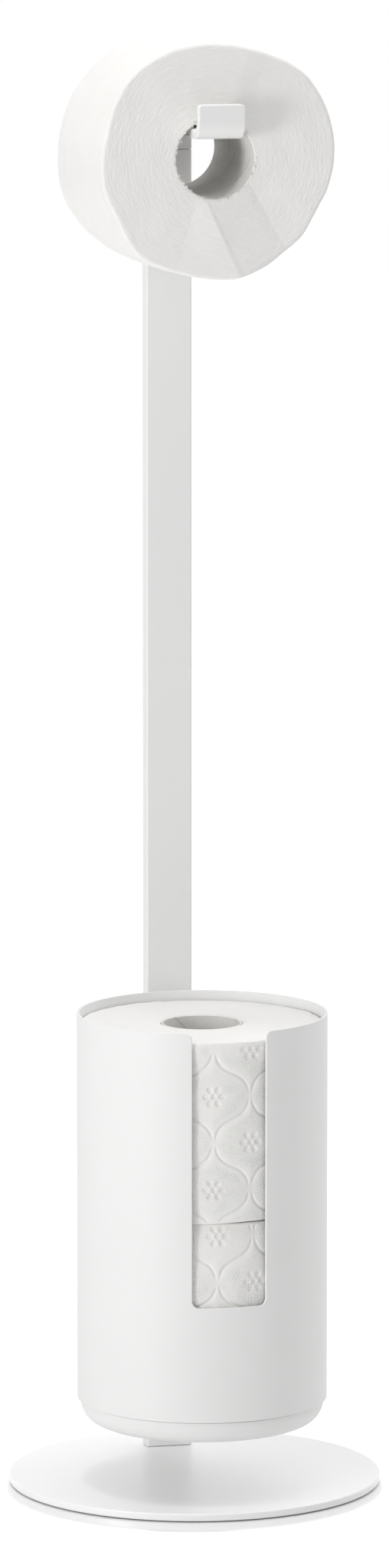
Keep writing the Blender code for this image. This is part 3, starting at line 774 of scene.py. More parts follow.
@dataclass(frozen=True)
class Quilt:
    """Embossing of a spare roll: crossing curved seams, with a rosette of dots in each cell.

    Attributes:
        axis: Place of the roll's axis in X and Y; radius, foot and top are the roll's own.
        turn: Share of a turn by which the pattern is turned.
        cells_round: Cells round the roll, each cell_height tall.
        sway: How far the seams curve, as a share of a cell.
        seam_width: Half width of a seam.
        crossing: Distance from a crossing at which the seams begin.
        dots_round: Dots round the middle dot of a rosette, on a circle of radius dot_ring.
        dot_narrow: Width of a dot as a share of its length.
        dot_floor: Share of the radius that is fully pressed in.
        pin_pitch: Distance between the pin dots of the ground.
        pin_reach: Distances from a seam at which the pins begin and are full.
        margin: Width of the plain band at the top and the foot.
    """

    axis: Point
    radius: float
    foot: float
    top: float
    turn: float
    cells_round: int = 10
    cell_height: float = 0.050
    sway: float = 0.075
    seam_width: float = 0.00062
    crossing: float = 0.0016
    dots_round: int = 6
    dot_ring: float = 0.0042
    dot_radius: float = 0.00165
    dot_narrow: float = 0.75
    dot_floor: float = 0.45
    pin_pitch: float = 0.00172
    pin_reach: Point = (0.0015, 0.0045)
    margin: float = 0.0030

    def spot(self, sheet: NodeSheet, place: Value) -> Spot:
        """Places a point in the pattern.

        Args:
            sheet: The sheet to build on.
            place: The point.

        Returns:
            Its place in the pattern.
        """
        x, y, height, away = sheet.about(place, self.axis)
        turn = sheet.math("MULTIPLY_ADD", sheet.math("ARCTAN2", y, x), 1.0 / math.tau, self.turn)
        columns = turn * float(self.cells_round)
        rows = height / self.cell_height
        slants = [columns + rows, columns - rows]
        cell_width = math.tau * self.radius / self.cells_round
        span = 1.0 / math.hypot(1.0 / cell_width, 1.0 / self.cell_height)
        seams = []
        for slant, other in (slants, slants[::-1]):
            wave = sheet.math("SINE", other * math.tau)
            bent = sheet.math("MULTIPLY_ADD", wave, self.sway, slant)
            seams.append(sheet.math("ABSOLUTE", bent - sheet.math("ROUND", bent)) * span)
        inside = [sheet.math("FRACT", slant) - 0.5 for slant in slants]
        share = sheet.ramp(away, self.radius - self.margin, self.radius - self.margin / 2)
        share = share * sheet.ramp(height, self.foot, self.foot + self.margin)
        return Spot(
            first=seams[0],
            second=seams[1],
            across=(inside[0] + inside[1]) * (cell_width / 2),
            up=(inside[0] - inside[1]) * (self.cell_height / 2),
            girth=turn * (math.tau * self.radius),
            height=height,
            share=share * sheet.ramp(height, self.top, self.top - self.margin),
        )

    def seam(self, sheet: NodeSheet, at: Spot) -> Value:
        """Draws the seams, with a gap where two of them cross.

        Args:
            sheet: The sheet to build on.
            at: The point's place in the pattern.

        Returns:
            One on a seam and zero away from it.
        """
        near = sheet.math("MINIMUM", at.first, at.second)
        far = sheet.math("MAXIMUM", at.first, at.second)
        line = sheet.ramp(near, 2.0 * self.seam_width, 0.0)
        return line * sheet.ramp(far, self.crossing / 2, 2.0 * self.crossing)

    def rosette(self, sheet: NodeSheet, at: Spot) -> Value:
        """Draws the dots of a cell's rosette.

        Args:
            sheet: The sheet to build on.
            at: The point's place in the pattern.

        Returns:
            One in the dots and zero outside them.
        """
        away = sheet.diagonal(at.across, at.up)
        sector = math.tau / self.dots_round
        turn = sheet.math("ARCTAN2", at.up, at.across) / sector
        angle = (turn - sheet.math("ROUND", turn)) * sector
        along = away * sheet.math("COSINE", angle) - self.dot_ring
        beside = away * sheet.math("SINE", angle)
        dot = sheet.math("MINIMUM", sheet.diagonal(along * self.dot_narrow, beside), away)
        return sheet.ramp(dot, self.dot_radius, self.dot_radius * self.dot_floor)

    def pins(self, sheet: NodeSheet, at: Spot) -> Value:
        """Draws fine staggered pin dots between the seams.

        Args:
            sheet: The sheet to build on.
            at: The point's place in the pattern.

        Returns:
            One in a pin and zero between the pins.
        """
        first, second = (
            sheet.math("SINE", way * (math.tau / self.pin_pitch)) for way in (at.girth, at.height)
        )
        near = sheet.math("MINIMUM", at.first, at.second)
        return sheet.math("MAXIMUM", first * second, 0.0) * sheet.ramp(near, *self.pin_reach)


@dataclass(frozen=True)
class EmbossedTissue(CrepedTissue):
    """Firmer quilted tissue, whose seams, dots and pins are sharpened in its material."""

    colour: Colour = (0.885, 0.876, 0.858)
    shade: float = 0.98
    fibre_relief: float = 0.000085
    fibre_strength: float = 0.4
    quilt: Quilt | None = None
    seam_relief: float = 0.00024
    pin_relief: float = 0.00030
    pin_shares: tuple[float, float] = (0.15, 1.0)

    def made(self, sheet: NodeSheet) -> bpy.types.Material:
        """Builds the material on a fresh node sheet."""
        place = sheet.place()
        at = self.quilt.spot(sheet, place)
        patches = sheet.speckle(place, self.cloud_size / 2, 1.0)
        pins = self.quilt.pins(sheet, at) * sheet.span(patches, *self.pin_shares)
        marks = sheet.math("MAXIMUM", self.quilt.seam(sheet, at), self.quilt.rosette(sheet, at))
        relief = sheet.bump(pins * at.share, self.pin_relief)
        relief = sheet.bump(1.0 - marks * at.share, self.seam_relief, 1.0, relief)
        return self.dressed(sheet, place, sheet.speckle(place, self.fibre_size), relief)


@dataclass(frozen=True)
class WoundBoard(Finish):
    """Greyish board of the cores, wound from a strip at an angle."""

    name: str = "wound_board"
    colour: Colour = (0.85, 0.84, 0.81)
    shade: float = 0.86
    roughness: tuple[float, float] = (0.8, 0.95)
    light: float = 1.06
    seam_shade: float = 0.72
    specular: float = 0.25
    strip_width: float = 0.034
    strip_lean: float = 0.9
    seam_share: float = 0.03
    fibre_size: float = 0.0008
    fibre_stretch: Corner = (1.0, 0.3, 1.0)
    relief: float = 0.00012
    relief_strength: float = 0.5

    def made(self, sheet: NodeSheet) -> bpy.types.Material:
        """Builds the material on a fresh node sheet."""
        wrap = sheet.wrap()
        girth, length, _ = sheet.parts(wrap)
        slant = sheet.math("MULTIPLY_ADD", girth, self.strip_lean, length)
        strip = sheet.math("FRACT", slant / self.strip_width)
        seam = sheet.math("LESS_THAN", strip, self.seam_share)
        fibres = sheet.speckle(sheet.stretched(wrap, self.fibre_stretch), self.fibre_size, 3.0)
        board = sheet.tint(fibres, self.scaled(self.shade), self.scaled(self.light))
        relief = sheet.bump(fibres, self.relief, self.relief_strength)
        return sheet.surface(
            Base_Color=sheet.tint(seam, board, self.scaled(self.seam_shade)),
            Roughness=self.rough(sheet, fibres),
            Specular_IOR_Level=self.specular,
            Normal=sheet.bump(strip, self.relief, self.relief_strength, relief),
        )


POWDER = PowderCoat()
# The base plate's powder white under a real clear coat; its colour is lighter than on the other
# powder-coated pieces, as painted light for the plate under the canister.
PAINTED_LIGHT_SATIN = PowderCoat(
    "satin_coat_painted_light", (0.93, 0.93, 0.93), roughness=(0.36, 0.44), coat=1.0, coat_roughness=0.34
)
RUBBER = Moulding("pad_rubber", (0.10, 0.10, 0.10), 0.7, (0.75, 0.95), 0.0006, 0.00008, 0.6)
BUSH = Moulding("bush_plastic", (0.80, 0.80, 0.79), 0.97, (0.5, 0.62), 0.0005, 0.00003, 0.4)
ZINC = PlatedSteel()
YELLOW_ZINC = PlatedSteel("yellow_zinc", (0.70, 0.66, 0.52))
SOFT_TISSUE = CrepedTissue()
BOARD = WoundBoard()


@dataclass
class Piece:
    """A finished piece of the visual model, ready to be placed.

    Attributes:
        name: The object's name.
        mesh: Its shape, already in its place.
        finish: Its surface finish.
        slot: The record's slot that it belongs to; it is not used.
        body: The body that it rides on.
        stands_for: The CAD nodes that it replaces.
    """

    name: str
    mesh: Mesh
    finish: Finish
    slot: Slot = Slot.POWDER
    body: Body = Body.STAND
    stands_for: tuple[str, ...] = ()

    def place(self) -> None:
        """Adds the piece to the scene and ties it to the frame."""
        self.mesh.name = self.name
        self.mesh.materials.clear()
        self.mesh.materials.append(self.finish.material())
        obj = linked(self.name, self.mesh)
        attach(obj, self.body.value)
        if self.stands_for:
            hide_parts(*self.stands_for)
        LOG.info("%s: %d faces on %s", self.name, len(self.mesh.polygons), self.body.value)


class SubAssembly:
    """A part of the holder that yields its finished pieces."""

    def pieces(self) -> Iterator[Piece]:
        """Builds the pieces one by one."""
        raise NotImplementedError


@dataclass
class Base(SubAssembly):
    """Round steel plate with a softly rounded edge over a recessed pad."""

    top_round: float = 0.0007
    foot_round: float = 0.0009
    pad_room: float = 0.0005
    recess_room: float = 0.0003

    def pieces(self) -> Iterator[Piece]:
        """Builds the plate; its pad keeps the CAD shape."""
        low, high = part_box("base_plate")
        _, pad_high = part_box("base_pad")
        recess = pad_high.x + self.pad_room
        roof = pad_high.z + self.recess_room
        profile = fillet([
            (0.0, high.z, 0.0),
            (high.x, high.z, self.top_round),
            (high.x, low.z, self.foot_round),
            (recess, low.z, 0.0),
            (recess, roof, 0.0),
            (0.0, roof, 0.0),
        ])
        holes = [self.screw_hole(node, roof, high.z) for node in BASE_SCREWS]
        plate = shaded(combined(turned(profile, TURN_STEPS), holes))
        # The plate's lighter coat colour is painted light.
        yield Piece("base_plate_coated", plate, PAINTED_LIGHT_SATIN, stands_for=("base_plate",))

    def screw_hole(self, node: str, roof: float, top: float) -> Mesh:
        """Tool for the countersunk hole of a screw that holds the mast.

        Args:
            node: The screw's CAD node.
            roof: Height of the recess's roof, where the screw's head ends.
            top: Height of the plate's top.

        Returns:
            The tool's mesh.
        """
        low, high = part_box(node)
        head = (high.x - low.x) / 2 + self.recess_room
        shank = head / 2
        profile = [
            (0.0, top + CUT_OVERRUN), (shank, top + CUT_OVERRUN), (shank, roof + head - shank),
            (head, roof), (head, roof - CUT_OVERRUN), (0.0, roof - CUT_OVERRUN),
        ]
        centre = (low + high) / 2
        return turned(profile, HOLE_STEPS, (centre.x, centre.y))


@dataclass
class Mast(SubAssembly):
    """Flat rectangular tube behind the canister."""

    wall: float = 0.0015
    corner: float = 0.0010
    inner_corner: float = 0.0003
    nut_hole_radius: float = 0.00405
    screw_hole_radius: float = 0.0023

    def pieces(self) -> Iterator[Piece]:
        """Builds the tube with its holes."""
        low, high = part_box("mast_tube")
        middle = (low + high) / 2
        outlines = [
            self.section(high - middle, 0.0, self.corner),
            self.section(high - middle, self.wall, self.inner_corner),
        ]
        tube = flat_plate(outlines, high.z - low.z, 0.0)
        tube.transform(Matrix.Translation(middle))
        holes = [self.hole(node, low.y, self.nut_hole_radius) for node in RIVET_NUTS]
        holes += [self.hole(node, high.y, self.screw_hole_radius) for node in ARM_SCREWS]
        yield Piece("mast_coated", shaded(combined(tube, holes)), POWDER, stands_for=("mast_tube",))

    def section(self, half: Vector, inset: float, corner: float) -> list[Point]:
        """Outline of the tube's section, drawn in by an inset."""
        x, y = half.x - inset, half.y - inset
        return fillet([(x, y, corner), (-x, y, corner), (-x, -y, corner), (x, -y, corner)])

    def hole(self, node: str, wall_y: float, radius: float) -> Mesh:
        """Tool for the hole of a nut or screw through the front or back wall.

        Args:
            node: The CAD node that sits in the hole.
            wall_y: Place of the wall.
            radius: The hole's radius.

        Returns:
            The tool's mesh.
        """
        reach = Vector((0.0, self.wall + CUT_OVERRUN, 0.0))
        middle = Vector((0.0, wall_y, middle_height(node)))
        return rod(middle - reach, middle + reach, radius)


@dataclass
class Arm(SubAssembly):
    """Strip arm with its root block, tenon and turned-up lip."""

    thickness: float = 0.005
    lip_rise: float = 0.0135
    root_bend: float = 0.0078
    back_bend: float = 0.0120
    lip_bend: float = 0.0055
    bend_steps: int = 14
    lip_edge: float = 0.0009
    edge: float = 0.0008
    lip_corner: float = 0.0022
    corner_steps: int = 7
    root_gap: float = 0.0003
    tenon_fit: float = 0.0018

    def pieces(self) -> Iterator[Piece]:
        """Builds the arm in one piece."""
        low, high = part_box("hook_arm")
        mast_low, mast_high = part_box("mast_tube")
        root = mast_high.z + self.root_gap
        top = high.z - self.lip_rise
        under = top - self.thickness
        inner = low.y + self.thickness
        outline = fillet([
            (mast_low.y, root, 0.0),
            (mast_low.y, under, self.root_bend),
            (low.y, under, self.lip_bend + self.thickness),
            (low.y, high.z, self.lip_edge),
            (inner, high.z, self.lip_edge),
            (inner, top, self.lip_bend),
            (mast_high.y, top, self.back_bend),
            (mast_high.y, root, 0.0),
        ], self.bend_steps)
        strip = flat_plate([outline], high.x - low.x, self.edge)
        # The outline's own x lies along world Y and its own y along world Z
        strip.transform(Matrix(((0, 0, 1, 0), (1, 0, 0, 0), (0, 1, 0, 0), (0, 0, 0, 1))))
        strip = self.with_round_corners(strip, high.z)
        fit = Vector((self.tenon_fit, self.tenon_fit, 0.0))
        tenon = box_bar(
            Vector((mast_low.x, mast_low.y, low.z)) + fit,
            Vector((mast_high.x, mast_high.y, root + CUT_OVERRUN)) - fit,
        )
        arm = combined(strip, [tenon], "UNION")
        yield Piece("arm_coated", shaded(arm), POWDER, stands_for=("hook_arm",))

    def with_round_corners(self, strip: Mesh, top: float) -> Mesh:
        """Rounds the lip's two upper corners, as seen from the front.

        Args:
            strip: The bent strip.
            top: Height of the lip's top.

        Returns:
            The strip with its corners rounded.
        """
        bm = bmesh.new()
        bm.from_mesh(strip)
        foot = top - self.lip_corner
        for step in range(self.corner_steps + 1):
            level = foot + self.lip_corner * math.sin(math.pi / 2 * step / (self.corner_steps + 1))
            cut_across(bm, (0.0, 0.0, level), (0.0, 0.0, 1.0))
        for vert in bm.verts:
            rise = min(max(vert.co.z - foot, 0.0), self.lip_corner)
            inset = self.lip_corner - math.sqrt(self.lip_corner ** 2 - rise ** 2)
            vert.co.x -= math.copysign(inset, vert.co.x)
        return from_bmesh(bm)


@dataclass
class Canister(SubAssembly):
    """Rolled shell with its front slot, and the dished cup below it."""

    wall: float = 0.0015
    edge: float = 0.00038
    strips: int = 288
    strip_weld: float = 0.00001
    strip_flatness: float = math.radians(0.2)
    slot_width: float = 0.04025
    slot_shift: float = -0.00018
    slot_corner: float = 0.0038
    slot_mouth: float = 0.0035
    slot_sill: float = 0.0532
    seam_shift: float = 0.010
    seam_spare: float = 0.004
    screw_hole_radius: float = 0.0028
    hole_sides: int = 24
    cup_wall: float = 0.0012
    cup_corner_share: float = 0.88
    cup_steps: int = 16
    groove: Point = (0.0005, 0.0006)

    def pieces(self) -> Iterator[Piece]:
        """Builds the shell and the cup."""
        yield Piece("shell_coated", self.shell(), POWDER, stands_for=("canister_shell",))
        yield Piece("cup_coated", self.cup(), POWDER, stands_for=("canister_cap",))

    def shell(self) -> Mesh:
        """Cuts the sheet flat, with its slot and holes, and rolls it up.

        Returns:
            The shell's mesh, welded where the sheet's ends meet.
        """
        low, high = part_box("canister_shell")
        radius = (high.x - low.x) / 2
        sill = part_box("canister_floor")[1].z + self.slot_sill
        half = radius * math.asin(self.slot_width / 2 / radius)
        slot_left, slot_right = self.slot_shift - half, self.slot_shift + half
        left, right = (self.seam_shift + side * math.pi * radius for side in (-1.0, 1.0))
        sheet = fillet([
            (left - self.seam_spare, low.z, 0.0),
            (right + self.seam_spare, low.z, 0.0),
            (right + self.seam_spare, high.z, 0.0),
            (slot_right, high.z, self.slot_mouth),
            (slot_right, sill, self.slot_corner),
            (slot_left, sill, self.slot_corner),
            (slot_left, high.z, self.slot_mouth),
            (left - self.seam_spare, high.z, 0.0),
        ])
        holes = [
            circle((math.pi * radius, middle_height(node)), self.screw_hole_radius, self.hole_sides)
            for node in CANISTER_SCREWS
        ]
        bm = bmesh.new()
        bm.from_mesh(flat_plate([sheet, *holes], self.wall, self.edge))
        for strip in range(self.strips + 1):
            along = left + (right - left) * strip / self.strips
            cut_across(
                bm, (along, 0.0, 0.0), (1.0, 0.0, 0.0), clear_inner=strip == 0,
                clear_outer=strip == self.strips,
            )
        centre_y = (low.y + high.y) / 2
        for vert in bm.verts:
            angle = vert.co.x / radius
            reach = radius - self.wall / 2 + vert.co.z
            vert.co = (reach * math.sin(angle), centre_y - reach * math.cos(angle), vert.co.y)
        bmesh.ops.remove_doubles(bm, verts=bm.verts[:], dist=self.strip_weld)
        bmesh.ops.dissolve_limit(
            bm, angle_limit=self.strip_flatness, verts=bm.verts[:], edges=bm.edges[:]
        )
        return shaded(from_bmesh(bm))

    def cup(self) -> Mesh:
        """Turns the cup, with the spigot that fits inside the shell and a groove at the joint.

        Returns:
            The cup's mesh.
        """
        low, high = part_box("canister_cap")
        radius = (high.x - low.x) / 2
        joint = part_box("canister_shell")[0].z
        corner = (joint - low.z) * self.cup_corner_share
        depth, drop = self.groove
        profile = fillet([
            (0.0, low.z, 0.0),
            (radius, low.z, corner),
            (radius, joint - drop, 0.0),
            (radius - depth, joint - drop, 0.0),
            (radius - depth, joint, 0.0),
            (radius, joint + depth, 0.0),
            (radius, high.z, 0.0),
            (radius - self.cup_wall, high.z, 0.0),
            (radius - self.cup_wall, low.z + self.cup_wall, corner - self.cup_wall),
            (0.0, low.z + self.cup_wall, 0.0),
        ], self.cup_steps)
        return shaded(turned(profile, TURN_STEPS, (0.0, (low.y + high.y) / 2)))


def wound_ring(points: np.ndarray, section: np.ndarray, girth: float, centre: Vector) -> Mesh:
    """Joins a closed grid of points into a ring-shaped mesh with a UV map in metres.

    Args:
        points: Array of stations by angles by 3; both ways round are closed.
        section: Array of stations by 2, the plain section that the stations follow.
        girth: Length round the ring on the UV map.
        centre: Place added to all the points.

    Returns:
        A closed mesh with its faces turned outwards.
    """
    stations, angles, _ = points.shape
    steps = np.linalg.norm(np.diff(section, axis=0, append=section[:1]), axis=1)
    path = np.concatenate([[0.0], np.cumsum(steps)])
    round_way = np.linspace(0.0, girth, angles + 1)
    wrap = np.stack(np.meshgrid(round_way, path, indexing="xy"), axis=-1)
    rows, columns = np.meshgrid(np.arange(stations), np.arange(angles), indexing="ij")
    corners = ((0, 0), (0, 1), (1, 1), (1, 0))
    faces = np.stack([
        (rows + down) % stations * angles + (columns + across) % angles
        for down, across in corners
    ], axis=-1).reshape(-1, 4)
    loops = np.stack([wrap[rows + down, columns + across] for down, across in corners], axis=2)
    mesh = bpy.data.meshes.new("ring")
    mesh.from_pydata((points.reshape(-1, 3) + np.array(centre)).tolist(), [], faces.tolist())
    layer = mesh.uv_layers.new(name=WRAP_MAP)
    layer.data.foreach_set("uv", loops.reshape(-1).astype(np.float32))
    mesh.shade_smooth()
    bm = bmesh.new()
    bm.from_mesh(mesh)
    bmesh.ops.recalc_face_normals(bm, faces=bm.faces[:])
    bm.to_mesh(mesh)
    bm.free()
    return mesh


def ring_value(knots: Sequence[Point], angles: np.ndarray) -> np.ndarray:
    """Smooth closed curve through knots.

    Args:
        knots: Each knot as (degrees, value).
        angles: Where the curve is wanted, in degrees.

    Returns:
        Its values there.
    """
    where, value = np.array(knots).T
    where = np.concatenate([where[-2:] - 360.0, where, where[:2] + 360.0])
    value = np.concatenate([value[-2:], value, value[:2]])
    slope = np.gradient(value, where)
    turn = (angles - where[1]) % 360.0 + where[1]
    index = np.clip(np.searchsorted(where, turn, side="right") - 1, 0, len(where) - 2)
    step = where[index + 1] - where[index]
    share = (turn - where[index]) / step
    return (
        (1 + 2 * share) * (1 - share) ** 2 * value[index]
        + share * (1 - share) ** 2 * step * slope[index]
        + share ** 2 * (3 - 2 * share) * value[index + 1]
        + share ** 2 * (share - 1) * step * slope[index + 1]
    )


def clouds(points: np.ndarray, size: float, seed: float = 0.0) -> np.ndarray:
    """Smooth noise from -1 to 1 at an array of points, with features of about one size."""
    flat = points.reshape(-1, 3) / size + seed
    return np.array([noise.noise(point) for point in flat.tolist()]).reshape(points.shape[:-1])


@dataclass(frozen=True)
class Fold:
    """A run of creases in the roll's face, from its core to its rim.

    Attributes:
        knots: Creases in order, each with its angle at the core, its angle at the rim, both in
            degrees from +X towards +Z, and how far it stands out.
        core_reach: The core's radius as a share of the rim's.
        core_share: How much of the height the creases have at the core.
        grown: Share of the way out at which they have their full height.
    """

    knots: tuple[Corner, ...]
    core_reach: float = 0.36
    core_share: float = 0.25
    grown: float = 0.25

    def relief(self, turn: np.ndarray, reach: np.ndarray) -> np.ndarray:
        """Height of the face above its plain shape.

        Args:
            turn: Angle of each column, in degrees.
            reach: Share of the way out of each row.

        Returns:
            The height of each row and column.
        """
        start, end, height = np.array(self.knots).T
        inner = self.core_reach * np.exp(1j * np.radians(start))
        outer = np.exp(1j * np.radians(end))
        rows = []
        for share in reach:
            angles = np.degrees(np.angle(inner + (outer - inner) * share))
            rise = min(1.0, self.core_share + (1 - self.core_share) * share / self.grown)
            rows.append(rise * np.interp(turn, angles, height, left=0.0, right=0.0))
        return np.array(rows)


@dataclass(kw_only=True)
class WoundRoll(SubAssembly):
    """What all the rolls share: their bore, and the board core in it."""

    bore: float = 0.0217
    board_bore: float = 0.0206
    board_wall: float = 0.0008
    board_angles: int = 192
    board_rings: int = 48

    def board(self, length: float) -> Mesh:
        """Winds the core's tube about Z, on z = 0.

        Args:
            length: The tube's length.

        Returns:
            The tube's mesh.
        """
        turn = np.arange(self.board_angles) * math.tau / self.board_angles
        heights = np.linspace(0.0, length, self.board_rings + 1)
        radii = np.repeat((self.board_bore + self.board_wall, self.board_bore), len(heights))
        levels = np.concatenate([heights, heights[::-1]])
        points = np.stack([
            radii[:, None] * np.cos(turn), radii[:, None] * np.sin(turn),
            levels[:, None] + 0.0 * turn,
        ], axis=-1)
        section = np.stack([radii, levels], axis=1)
        mesh = wound_ring(points, section, math.tau * self.board_bore, Vector())
        mesh.set_sharp_from_angle(angle=SHARP_ANGLE)
        return mesh


class Zone(Enum):
    """Parts of the hanging roll's section."""

    FACE = "face"
    SIDE = "side"
    BORE = "bore"


class Station(NamedTuple):
    """One ring of the hanging roll's section, at a depth from the roll's middle.

    Attributes:
        offset: On a face, the share of the way from the mouth to the rim; on the side, the
            distance in from the rim; in the bore, the ring's own radius.
        plain: Its radius on a plain round roll.
    """

    zone: Zone
    offset: float
    depth: float
    plain: float


@dataclass
class HangingRoll(WoundRoll):
    """Large soft roll on the arm, pressed out of round, with its core."""

    radius: float = 0.0625
    edge_round: float = 0.0020
    mouth_round: float = 0.0012
    lip_bore: float = 0.0209
    lip_round: float = 0.0005
    lip_length: float = 0.0014
    lip_fray: float = 0.00035
    fray_size: float = 0.06
    board_room: float = 0.0002
    crown: float = 0.0010
    dish: float = 0.0060
    dish_share: float = 0.62
    dish_power: float = 1.3
    angles: int = 480
    face_rings: int = 84
    back_rings: int = 30
    side_rings: int = 52
    edge_rings: int = 8
    bore_rings: int = 6
    front_shares: tuple[Point, ...] = (
        (-180, 0.970), (-164, 0.978), (-151, 0.972), (-127, 1.034), (-114, 1.010), (-98, 1.004),
        (-76, 1.024), (-56, 1.000), (-42, 1.004), (-26, 0.988), (-14, 1.014), (-1, 1.030),
        (19, 1.046), (44, 1.040), (60, 0.990), (86, 0.957), (108, 0.980), (138, 0.998), (168, 0.958),
    )
    back_shares: tuple[Point, ...] = (
        (-180, 1.014), (-156, 1.054), (-138, 1.046), (-122, 1.030), (-98, 0.992), (-70, 0.985),
        (-40, 0.975), (-10, 0.965), (20, 0.975), (50, 0.965), (75, 0.934), (97, 0.929),
        (118, 0.982), (145, 0.992), (166, 1.006),
    )
    folds: tuple[Fold, ...] = (
        Fold((
            (-132.0, -130.0, 0.0), (-116.0, -109.0, -0.0003), (-104.0, -78.0, 0.0017),
            (-99.0, -75.5, 0.0011), (-44.0, -57.5, -0.0009), (-34.0, -51.0, -0.0016),
            (-14.0, -28.0, -0.0004), (14.0, -4.0, 0.0),
        )),
        Fold(((30.0, 22.0, 0.0), (54.0, 62.0, 0.0), (66.0, 73.0, 0.0006), (96.0, 104.0, 0.0))),
        Fold(((128.0, 126.0, 0.0), (146.0, 144.0, -0.0004), (170.0, 172.0, 0.0))),
    )
    lump_size: float = 0.016
    lump_height: float = 0.00035
    lump_rise: float = 6.0
    swell_size: float = 0.0112
    swell_height: float = 0.00042
    crepe_size: float = 0.0009
    crepe_length_share: float = 0.22
    crepe_height: float = 0.00015
    back_crepe: float = 0.5
    side_crepe: float = 0.6
    side_power: int = 8
    rim_start: float = 0.99
    seeds: Corner = (5.0, 7.0, 3.0)

    def pieces(self) -> Iterator[Piece]:
        """Builds the paper and its core."""
        centre = spin_centre()
        yield Piece(
            "hanging_roll_tissue", self.paper(centre), SOFT_TISSUE, Slot.SOFT_PAPER,
            Body.HANGING_ROLL, ("hanging_roll_paper",),
        )
        low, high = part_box("hanging_roll_core")
        front = low.y + self.lip_length + self.board_room
        board = self.board(high.y - front)
        lying = Matrix.Rotation(-math.pi / 2, 4, "X")
        board.transform(Matrix.Translation((0.0, front, centre.z)) @ lying)
        yield Piece(
            "hanging_roll_board", board, BOARD, Slot.CORE, Body.HANGING_ROLL,
            ("hanging_roll_core",),
        )

    def paper(self, centre: Vector) -> Mesh:
        """Lofts the paper between its front and back outlines.

        Args:
            centre: Middle of the roll's axis.

        Returns:
            The paper's mesh.
        """
        low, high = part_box("hanging_roll_paper")
        half = (high.y - low.y) / 2
        stations = self.stations(half)
        on_face = np.array([[station.zone is Zone.FACE] for station in stations])
        in_bore = np.array([[station.zone is Zone.BORE] for station in stations])
        offset, depth, plain = np.array([station[1:] for station in stations]).T[:, :, None]
        turn = np.arange(self.angles) * 360.0 / self.angles - 180.0
        front = self.radius * ring_value(self.front_shares, turn)
        back = self.radius * ring_value(self.back_shares, turn)
        share = (depth + half) / (2 * half)
        rim = front * (1 - share) + back * share
        rim = rim + self.crown * np.sin(np.clip(share, 0, 1) * math.pi)
        face_rim = rim - self.edge_round
        mouth = np.where(depth < 0.0, self.lip_bore + self.lip_round, self.bore + self.mouth_round)
        radii = np.where(on_face, mouth + (face_rim - mouth) * offset, rim - offset)
        radii = np.where(in_bore, offset, radii)
        cosine, sine = np.cos(np.radians(turn)), np.sin(np.radians(turn))
        # The mouth's front lip is frayed
        on_lip = np.clip((self.lip_length - half - depth) / self.lip_length, 0.0, 1.0)
        fray = clouds(np.stack([cosine, sine, 0.0 * turn], axis=-1), self.fray_size, self.seeds[0])
        at_mouth = radii < self.bore + self.mouth_round
        radii = radii + np.where(at_mouth, on_lip * self.lip_fray * fray, 0.0)
        out = np.clip((radii - mouth) / (face_rim - mouth), 0.0, 1.0)
        # The back face sinks towards the core
        sink = self.dish * np.clip(1.0 - out / self.dish_share, 0.0, 1.0) ** self.dish_power
        y = depth - np.where(share > 0.5, sink, 0.0)
        x, z = radii * cosine, radii * sine
        place = np.stack([x, y, z], axis=-1)
        # Creases, lumps and crepe of the faces
        fading = np.where(on_face, 1.0, np.clip(1.0 - 2.0 * share, 0.0, 1.0))
        relief = sum(fold.relief(turn, out.mean(axis=1)) for fold in self.folds) * fading
        lumps = self.lump_height * clouds(place, self.lump_size)
        relief = relief + lumps * np.minimum(1.0, self.lump_rise * out)
        long_way = self.crepe_length_share
        streak = np.stack([x * long_way, radii, z * long_way], axis=-1)
        crepe = self.crepe_height * clouds(streak, self.crepe_size, self.seeds[1])
        y = y - np.where((share < 0.5) & ~in_bore, relief + crepe, 0.0)
        y = y + np.where((share > 0.5) & ~in_bore, self.back_crepe * crepe, 0.0)
        # Swell and crepe of the side
        swell = self.swell_height * clouds(place, self.swell_size, self.seeds[2]) * out
        level = np.clip(1.0 - np.abs(2 * share - 1) ** self.side_power, 0.0, 1.0)
        grow = (swell + self.side_crepe * crepe * level) / radii * (out > self.rim_start)
        points = np.stack([x * (1.0 + grow), y, z * (1.0 + grow)], axis=-1)
        section = np.concatenate([plain, depth], axis=1)
        return wound_ring(points, section, math.tau * self.radius, centre)

    def on_face(self, share: float, depth: float) -> Station:
        """Station on the front or back face, at a share of the way out."""
        mouth = self.bore + self.mouth_round
        plain = mouth + (self.radius - self.edge_round - mouth) * share
        return Station(Zone.FACE, share, depth, plain)

    def on_side(self, inward: float, depth: float) -> Station:
        """Station on the side or its rounded edges, at a distance in from the rim."""
        return Station(Zone.SIDE, inward, depth, self.radius - inward)

    def in_bore(self, radius: float, depth: float) -> Station:
        """Station in the bore or its lip."""
        return Station(Zone.BORE, radius, depth, radius)

